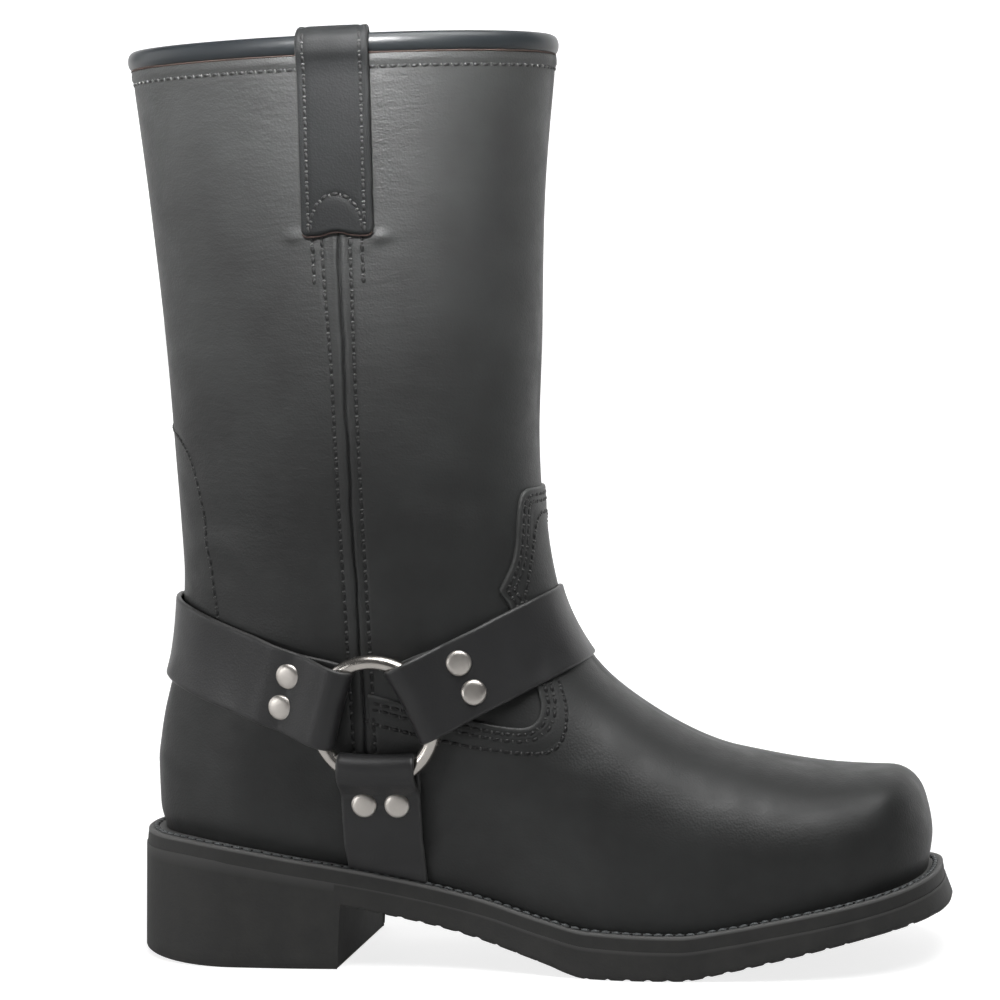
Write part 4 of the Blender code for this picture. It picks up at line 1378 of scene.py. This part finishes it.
def build_pull(label, side):
    """Pull strap folded over the bead, with troughs along its stitch rows."""
    middle = (PULL_PATH[:, :2] + PULL_PATH[:, 2:]) / 2
    gauge = np.linalg.norm(PULL_PATH[:, 2:] - PULL_PATH[:, :2], axis=1)
    length = run_length(middle)
    at = np.linspace(0.0, length[-1], PULL_STATIONS)
    out, z = smooth(length, middle, at).T
    share = edge_shares(PULL_ACROSS)
    across = share * PULL_HALF
    low = pull_end(across)[None, :]
    outer_face = np.arange(PULL_STATIONS) < PULL_STATIONS // 3
    outside = (outer_face & (z < PULL_END_Z))[:, None]
    raised = low + (z[:, None] - PULL_LOW_Z) * (PULL_END_Z - low) / (PULL_END_Z - PULL_LOW_Z)
    heights = np.where(outside, raised, z[:, None] + 0.0 * low)
    rows_in = np.abs(across) - (PULL_HALF - PULL_ROW_IN)
    arch = arch_height(across)[None, :]
    under_arch = np.abs(across) < ARCH_HALF
    pressed = ARCH_TROUGH * hump(heights - arch, ARCH_TROUGH_HALF) * under_arch
    swell = ARCH_SWELL * smoothstep(0.0, ARCH_SWELL_WITHIN, arch - heights) * under_arch
    lift = np.where(outside, swell - pressed, 0.0)
    points, _ = pull_points(side, heights, across[None, :] + 0.0 * heights, out[:, None] + lift)
    ends = rounding(np.linspace(-1.0, 1.0, PULL_STATIONS), length[-1] / 2, PULL_END_ROUND)
    thick = smooth(length, gauge, at) * rounding(share, PULL_HALF, STRAP_EDGE)[None, :] * ends[:, None]
    thick *= 1.0 - PULL_TROUGH * hump(rows_in, PULL_TROUGH_HALF)[None, :]
    wear_and_glint = edge_wear(share, PULL_HALF, PULL_WORN_HALF, PULL_STATIONS)
    add_piece("pull_" + label, *band(points, thick), "pull_leather", slot="strap_leather",
              replaces=("pull_strap_" + label,), wear_and_highlight=wear_and_glint)
    foot = np.linspace(-PULL_HALF, PULL_HALF, PULL_CUT_STATIONS) * PULL_CUT_SHARE
    cut = pull_points(side, pull_end(foot) - PULL_CUT_DROP, foot, np.full(foot.shape, PULL_CUT_OUT))[0]
    add_piece("pull_cut_edge_" + label, *tube(cut, CUT_EDGE), "raw_edge", slot="strap_leather")


def arch_height(across):
    """Height of the stitched arch at the foot of a pull strap."""
    inside = np.clip(1.0 - (across / ARCH_HALF) ** 2, 0.0, 1.0)
    return ARCH_LOW_Z + (ARCH_TOP_Z - ARCH_LOW_Z) * np.sqrt(inside)


def sew_pulls():
    """Stitch rows along both edges of the pull straps, and the arch at the foot."""
    rows = []
    for side in SIDES.values():
        over_out, over_z = PULL_PATH[:PULL_OUTER_ROWS, 2:].T
        z = np.arange(PULL_LOW_Z + PULL_ROW_OFF_END, over_z[-1], FINE_PITCH)
        for across in (PULL_ROW_IN - PULL_HALF, PULL_HALF - PULL_ROW_IN):
            out = np.interp(z, over_z, over_out)
            rows.append(pull_points(side, z, np.full(z.shape, across), out - PULL_ROW_SUNK))
        turn = np.linspace(0.0, math.pi, ARCH_SAMPLES)
        rise = (ARCH_TOP_Z - ARCH_LOW_Z) * np.sin(turn)
        curve = np.stack([-ARCH_HALF * np.cos(turn), ARCH_LOW_Z + rise], axis=1)
        length = run_length(curve)
        at = np.linspace(0.0, length[-1], int(length[-1] / FINE_PITCH) + 1)
        across, z = np.interp(at, length, curve[:, 0]), np.interp(at, length, curve[:, 1])
        rows.append(pull_points(side, z, across, np.full(z.shape, ARCH_OUT)))
    sew_with_lips("pull_stitches", rows)


# Harness

def ring_frame(side):
    """Centre and outward normal of the ring on one side."""
    right = upper_at(RING_X + RING_SPAN, RING_Z, side) - upper_at(RING_X - RING_SPAN, RING_Z, side)
    up = upper_at(RING_X, RING_Z + RING_SPAN, side) - upper_at(RING_X, RING_Z - RING_SPAN, side)
    normal = unit(np.cross(right, up))
    normal = normal * np.sign(normal[1] * side)
    return upper_at(RING_X, RING_Z, side) + normal * RING_LIFT, normal


def in_side_view(centre, angle, u, w):
    """Side-view position u out from the ring's centre at an angle, and w across."""
    cos, sin = math.cos(math.radians(angle)), math.sin(math.radians(angle))
    return centre[0] + u * cos - w * sin, centre[2] + u * sin + w * cos


def strap_layer(side, strap, u, w, fold, height):
    """Points of a strap: in the ring's plane near the ring, lying on the upper beyond it."""
    centre, normal = ring_frame(side)
    x, z = in_side_view(centre, STRAP_ANGLE[strap], u, w)
    forward = np.array([1.0, -normal[0] / normal[1], 0.0])
    upward = np.array([0.0, -normal[2] / normal[1], 1.0])
    flat = (centre + (x - centre[0])[..., None] * forward + (z - centre[2])[..., None] * upward
            + fold[..., None] * normal)
    row, turn = locate(x, z, side)
    lies = smoothstep(*LOOP_LIES_FLAT[strap], u)[..., None]
    resting = skin(row, turn) + skin_normal(row, turn) * height[..., None]
    return flat * (1.0 - lies) + resting * lies


def strap_end(side, strap, last):
    """Centre points of a strap from its tucked end, round the ring's wire and out to its last stations."""
    share = edge_shares(STRAP_ACROSS)
    turn_at = FOLD_TURN_AT - FOLD_TURN_EDGE * share ** 2
    tucked = np.linspace(TUCKED_END, FOLD_START, TUCKED_STATIONS)[:, None] + 0.0 * share
    lifts = np.linspace(0.0, math.pi, FOLD_STATIONS)[:, None]
    nose = turn_at - FOLD_MIDDLE * np.sin(lifts)
    loop = np.linspace(FOLD_START, LOOP_END, LOOP_STATIONS)[:, None] + 0.0 * share
    u = np.vstack([tucked, nose, loop, last])
    fold = np.vstack([np.full(tucked.shape, -FOLD_MIDDLE), -FOLD_MIDDLE * np.cos(lifts) + 0.0 * share,
                      np.full(loop.shape, FOLD_MIDDLE), np.full(last.shape, FOLD_MIDDLE)])
    doubled, single = DOUBLED_MIDDLE[strap], SINGLE_MIDDLE[strap]
    height = doubled + (single - doubled) * smoothstep(*LOOP_DOUBLED, u)
    height[:TUCKED_STATIONS] = TUCKED_MIDDLE[strap]
    middle = u[:, STRAP_ACROSS // 2]
    reach = STRAP_HALF[strap] * (1.0 - FOLD_NARROW * (1.0 - smoothstep(*FOLD_NARROW_ENDS, middle)))
    tucked_middle = middle[:TUCKED_STATIONS]
    reach[:TUCKED_STATIONS] -= TUCKED_NARROWER * smoothstep(FOLD_TURN_AT, TUCKED_END, tucked_middle)
    return strap_layer(side, strap, u, np.outer(reach, share), fold, height)


def wrap_stations(strap, side):
    """Stations from the loop to the back or front of the upper, closing up as they arrive."""
    across = edge_shares(STRAP_ACROSS) * STRAP_HALF[strap]
    centre = ring_frame(side)[0]
    forward = 1.0 if strap == "back" else -1.0

    def inside(reach):
        x, z = in_side_view(centre, STRAP_ANGLE[strap], reach, across)
        return (x - profile_x(z, strap)) * forward > 0.0

    reach = farthest(np.full(across.shape, LOOP_END), np.full(across.shape, WRAP_REACH), inside)
    left = (1.0 - np.arange(1, WRAP_STATIONS + 1)[:, None] / WRAP_STATIONS) ** 2
    return reach - (reach - LOOP_END) * left


def finish_strap(name, points, strap, replaces):
    """Strap of even thickness with rounded, rubbed edges."""
    share = edge_shares(STRAP_ACROSS)
    half = STRAP_HALF[strap]
    thick = STRAP_LEATHER * rounding(share, half, STRAP_EDGE)[None, :] + np.zeros(points.shape[:2])
    wear_and_glint = edge_wear(share, half, STRAP_WORN_HALF, len(points))
    add_piece(name, *band(points, thick), "strap_leather", slot="strap_leather", replaces=replaces, wear_and_highlight=wear_and_glint)


def build_wrap(strap):
    """Strap from the lateral ring round the front or back of the boot to the medial ring."""
    lateral, medial = (strap_end(side, strap, wrap_stations(strap, side)) for side in (LATERAL, MEDIAL))
    middle = (lateral[-1] + medial[-1]) / 2
    points = np.concatenate([lateral[:-1], middle[None], medial[-2::-1]])
    finish_strap("harness_" + strap, points, strap, ("strap_" + strap,))


def build_anchor(label, side):
    """Strap from a ring down to the welt."""
    across = edge_shares(STRAP_ACROSS) * STRAP_HALF["anchor"]
    centre = ring_frame(side)[0]
    x = in_side_view(centre, STRAP_ANGLE["anchor"], 0.0, across)[0]
    foot = centre[2] - seat(x) - ANCHOR_FOOT
    last = LOOP_END + (foot - LOOP_END) * np.linspace(0.0, 1.0, ANCHOR_STATIONS)[1:, None]
    points = strap_end(side, "anchor", last)
    finish_strap("harness_anchor_" + label, points, "anchor", ("strap_anchor_" + label,))


def turned(profile, steps, centre, normal):
    """Vertices and faces of a turned shape whose axis starts at a point and runs along a normal."""
    axis = unit(np.asarray(normal, float))
    first = unit(np.cross(axis, TURNED_START))
    second = np.cross(axis, first)
    angle = turns(steps)[:, None]
    radius, height = np.array(profile).T
    spokes = np.cos(angle) * first + np.sin(angle) * second
    return grid(centre + radius[:, None, None] * spokes[None] + height[:, None, None] * axis, wrap=True)


def build_ring(label, side):
    """Round wire ring that turns in the folds of the three straps."""
    angle = np.linspace(0.0, 2 * math.pi, RING_SIDES + 1)
    section = np.stack([RING_RADIUS + RING_WIRE / 2 * np.cos(angle), RING_WIRE / 2 * np.sin(angle)], axis=1)
    shape = turned(section, RING_SEGMENTS, *ring_frame(side))
    add_piece("wire_ring_" + label, *shape, "ring_nickel", body="ring_" + label, slot="nickel",
              replaces=("ring_" + label,))


def build_rivet(strap, label, side, number, across):
    """Turned rivet head set a little into the strap."""
    u, w = np.meshgrid(RIVET_REACH[strap] + RIVET_PATCH, across + RIVET_PATCH, indexing="ij")
    top = STRAP_LEATHER / 2
    height = np.full(u.shape, DOUBLED_MIDDLE[strap] + top)
    patch = strap_layer(side, strap, u, w, np.full(u.shape, FOLD_MIDDLE + top), height)
    normal = unit(np.cross(patch[2, 1] - patch[0, 1], patch[1, 2] - patch[1, 0]))
    normal = normal * np.sign(normal[1] * side)
    name = f"{strap}_{label}_{number}"
    shape = turned(RIVET_DOME, RIVET_STEPS, patch[1, 1] - normal * RIVET_SEAT, normal)
    add_piece("rivet_head_" + name, *shape, "rivet_nickel", slot="nickel", replaces=("rivet_" + name,))


# Welt, sole and insole

def inset(sizes, distance):
    """Outline sizes moved in all round."""
    moved = dict(zip(OUTLINE_COLUMNS, sizes))
    moved["back_x"] += distance
    moved["front_x"] -= distance
    for key in ("heel", "waist", "ball"):
        moved[key] -= distance
    return moved


def sole_stations(size, count):
    """Stations along an outline, close together at its ends, with the heel's breast among them."""
    x = size["back_x"] + (size["front_x"] - size["back_x"]) * even_share(count)
    around_breast = [BREAST_FOOT_X - BREAST_STEP, BREAST_FOOT_X, BREAST_HEAD_X, BREAST_HEAD_X + BREAST_STEP]
    clear = (x < around_breast[0] - BREAST_CLEAR) | (x > around_breast[-1] + BREAST_CLEAR)
    return np.sort(np.append(x[clear], around_breast))


def outline(size, share, height):
    """Closed plan outline at shares of its length: back, lateral side, front, medial side."""
    x = size["back_x"] + (size["front_x"] - size["back_x"]) * share
    width = half_width(x, size)[0]
    middle = swing(x, 0.0)
    z = height(x)
    lateral = np.stack([x, middle - width, z], axis=1)
    medial = np.stack([x, middle + width, z], axis=1)
    return np.vstack([lateral, medial[-2:0:-1]])


def mixed(first, second, share):
    """Outline sizes between two others."""
    return {key: first[key] + (second[key] - first[key]) * share for key in first}


def even_share(count):
    """Shares of an outline's length, close together at its ends."""
    return (1.0 - np.cos(np.linspace(0.0, math.pi, count))) / 2


def build_welt():
    """Welt ledge with a stitch channel and rounded rim; its middle, under the foot, is left open."""
    share = even_share(SOLE_STATIONS)
    top, low = inset(WELT_TOP, 0.0), inset(WELT_LOW, 0.0)
    levels = [(inset(WELT_TOP, distance), drop) for distance, drop in WELT_RIM]
    levels.append((mixed(top, low, 0.5), WELT_HALFWAY_DROP))
    levels.append((low, WELT_THICK))
    levels.append((inset(WELT_LOW, RIM_INSIDE), WELT_THICK))
    rings = [outline(size, share, lambda x, drop=drop: seat(x) - drop) for size, drop in levels]
    rings.append(rings[0])
    count = len(rings[0])
    # Top faces of the welt painted paler: a painted highlight
    wear_and_glint = np.repeat([WELT_TOP_HIGHLIGHT if drop < WELT_HIGHLIGHT_DROP else 0.0 for size, drop in levels] + [0.0], count)
    add_piece("welt_rim", *grid(np.array(rings), wrap=True), "rubber", slot="sole_rubber", replaces=("welt",),
              sharp=WELT_SHARP, wear_and_highlight=wear_and_glint)


def sew_welt():
    """Heavy stitches in the welt's channel, with dots of thread colour between them as painted shade in the
    gaps.
    """
    path = outline(inset(WELT_TOP, WELT_ROW_IN), even_share(SOLE_STATIONS), seat)
    path = np.vstack([path, path[:1]])
    length = run_length(path)
    at = np.linspace(0.0, length[-1], int(length[-1] / WELT_PITCH), endpoint=False)
    points = np.stack([np.interp(at, length, path[:, k]) for k in range(3)], axis=1)
    slope = (seat(points[:, 0] + 1.0) - seat(points[:, 0] - 1.0)) / 2
    normals = unit(np.stack([-slope, np.zeros(len(slope)), np.ones(len(slope))], axis=1))
    rows = [(points + normals * WELT_ROW_LIFT, normals)]
    sew("welt_stitches", rows, "welt", "welt_thread")
    # Dark dots between the stitches: painted shade in the gaps
    sew("welt_painted_shade_dots", between(rows), "shade_dot")


def underside(x):
    """Bottom of the moulded sole: the heel's floor behind the breast, the tread in front of it."""
    rolled = HEEL_ROLL * np.clip((HEEL_ROLL_X - x) / HEEL_ROLL_X, 0.0, 1.0) ** 2
    return np.where(x <= BREAST_FOOT_X, rolled, tread(x))


def tread_groove(x, y):
    """Share of the full depth of the tread's cross grooves at places under the sole."""
    phase = np.abs(np.mod(x - TREAD_BOW * y ** 2, TREAD_PITCH) - TREAD_PITCH / 2)
    half = TREAD_GROOVE / 2
    cut = 1.0 - smoothstep(half - TREAD_GROOVE_SIDE, half + TREAD_GROOVE_SIDE, phase)
    return cut * smoothstep(*TREAD_OFF_BREAST, np.abs(x - (BREAST_FOOT_X + BREAST_HEAD_X) / 2))


def sole_side(share):
    """Rings down the flared side of the sole and round its lower edge, which the tread notches."""
    top, low = inset(SOLE_TOP, 0.0), inset(SOLE_LOW, 0.0)

    def notch(x):
        return TREAD_RIM_DEPTH * tread_groove(x, 0.0) * (x > BREAST_HEAD_X)

    def edge_height(x):
        return underside(x) + SOLE_EDGE_ROUND

    def top_height(x):
        return seat(x) - WELT_THICK + SOLE_JOIN

    def side_height(x, part):
        start = top_height(x) - SOLE_JOIN_DROP
        return start + (edge_height(x) - start) * part + notch(x) * part ** NOTCH_POWER

    rings = [outline(inset(SOLE_TOP, distance), share, top_height) for distance in (RIM_INSIDE, SOLE_JOIN_IN)]
    for part in np.linspace(0.0, 1.0, SOLE_LEVELS):
        rings.append(outline(mixed(top, low, part), share, lambda x, part=part: side_height(x, part)))
    for lift in np.radians(SOLE_EDGE_TURNS):
        size = inset(SOLE_LOW, SOLE_EDGE_ROUND * (1.0 - math.cos(lift)))
        drop = SOLE_EDGE_ROUND * math.sin(lift)
        rings.append(outline(size, share, lambda x, drop=drop: edge_height(x) - drop + notch(x)))
    return np.array(rings)


def sole_floor(share):
    """Grid of points over the underside, with the tread's grooves shallower at its rim."""
    floor = inset(SOLE_LOW, SOLE_EDGE_ROUND)
    x = floor["back_x"] + (floor["front_x"] - floor["back_x"]) * share
    off = half_width(x, floor)[0][:, None] * edge_shares(SOLE_ACROSS)
    from_rim = np.abs(off[:, :1]) - np.abs(off)
    low = underside(x)[:, None]
    x = x[:, None] + 0.0 * off
    rim_depth = TREAD_RIM_DEPTH * (x > BREAST_HEAD_X)
    depth = rim_depth + (TREAD_DEPTH - rim_depth) * smoothstep(0.0, TREAD_RIM, from_rim)
    return np.stack([x, swing(x, 0.0) + off, low + depth * tread_groove(x, off)], axis=-1)


def build_outsole():
    """Moulded sole and heel: side, rounded lower edge, and grooved underside joined to it."""
    low = inset(SOLE_LOW, 0.0)
    share = (sole_stations(low, SOLE_STATIONS) - low["back_x"]) / (low["front_x"] - low["back_x"])
    rings, bottom = sole_side(share), sole_floor(share)
    wall, wall_faces = grid(rings, wrap=True)
    floor, floor_faces = grid(bottom)
    count, stations, start = rings.shape[1], len(share), len(wall)
    last = start - count
    faces = [wall_faces, floor_faces + start]
    lateral = np.arange(stations)
    medial = np.append(np.append(0, np.arange(count - 1, stations - 1, -1)), stations - 1)
    for edge, column in ((lateral, 0), (medial, SOLE_ACROSS - 1)):
        inner = start + np.arange(stations) * SOLE_ACROSS + column
        faces.append(np.stack([last + edge[:-1], last + edge[1:], inner[1:], inner[:-1]], axis=-1))
    wear_and_glint = np.zeros(start + len(floor))
    # Top rings of the sole's side painted paler: a painted highlight along the join
    wear_and_glint[count:3 * count] = JOIN_LINE_HIGHLIGHT
    add_piece("moulded_sole", np.vstack([wall, floor]), np.vstack(faces), "rubber", slot="sole_rubber",
              replaces=("outsole",), sharp=SOLE_SHARP, wear_and_highlight=wear_and_glint)


def build_insole():
    """Leather board inside the upper, with a rounded edge."""
    first = dict(zip(SECTION_COLUMNS, SECTIONS[0]))
    edge = [first[key] for key in OUTLINE_COLUMNS]
    share = even_share(INSOLE_STATIONS)
    rings = []
    for distance, drop in INSOLE_EDGE:
        size = inset(edge, WALL + INSOLE_CLEAR + distance)
        rings.append(outline(size, share, lambda x, drop=drop: seat(x) + GAP + INSOLE_THICK - drop))
    count = len(rings[0])
    vertices, faces = grid(np.array(rings), wrap=True)
    k = np.arange(1, count // 2)
    top = np.stack([k, k + 1, count - k - 1, count - k], axis=-1) + len(vertices) - count
    add_piece("footbed", vertices, np.vstack([faces, top]), "insole_leather", slot="insole_leather",
              replaces=("insole",))


aim_camera()
set_studio()
build_upper()
build_lining()
build_vamp_edge()
sew_upper()
build_bead()
build_wrap("front")
build_wrap("back")
for label, side in SIDES.items():
    build_pull(label, side)
    build_anchor(label, side)
    build_ring(label, side)
    for strap in STRAP_ANGLE:
        for number, across in ((1, RIVET_APART), (2, -RIVET_APART)):
            build_rivet(strap, label, side, number, across)
sew_pulls()
build_welt()
sew_welt()
build_outsole()
build_insole()
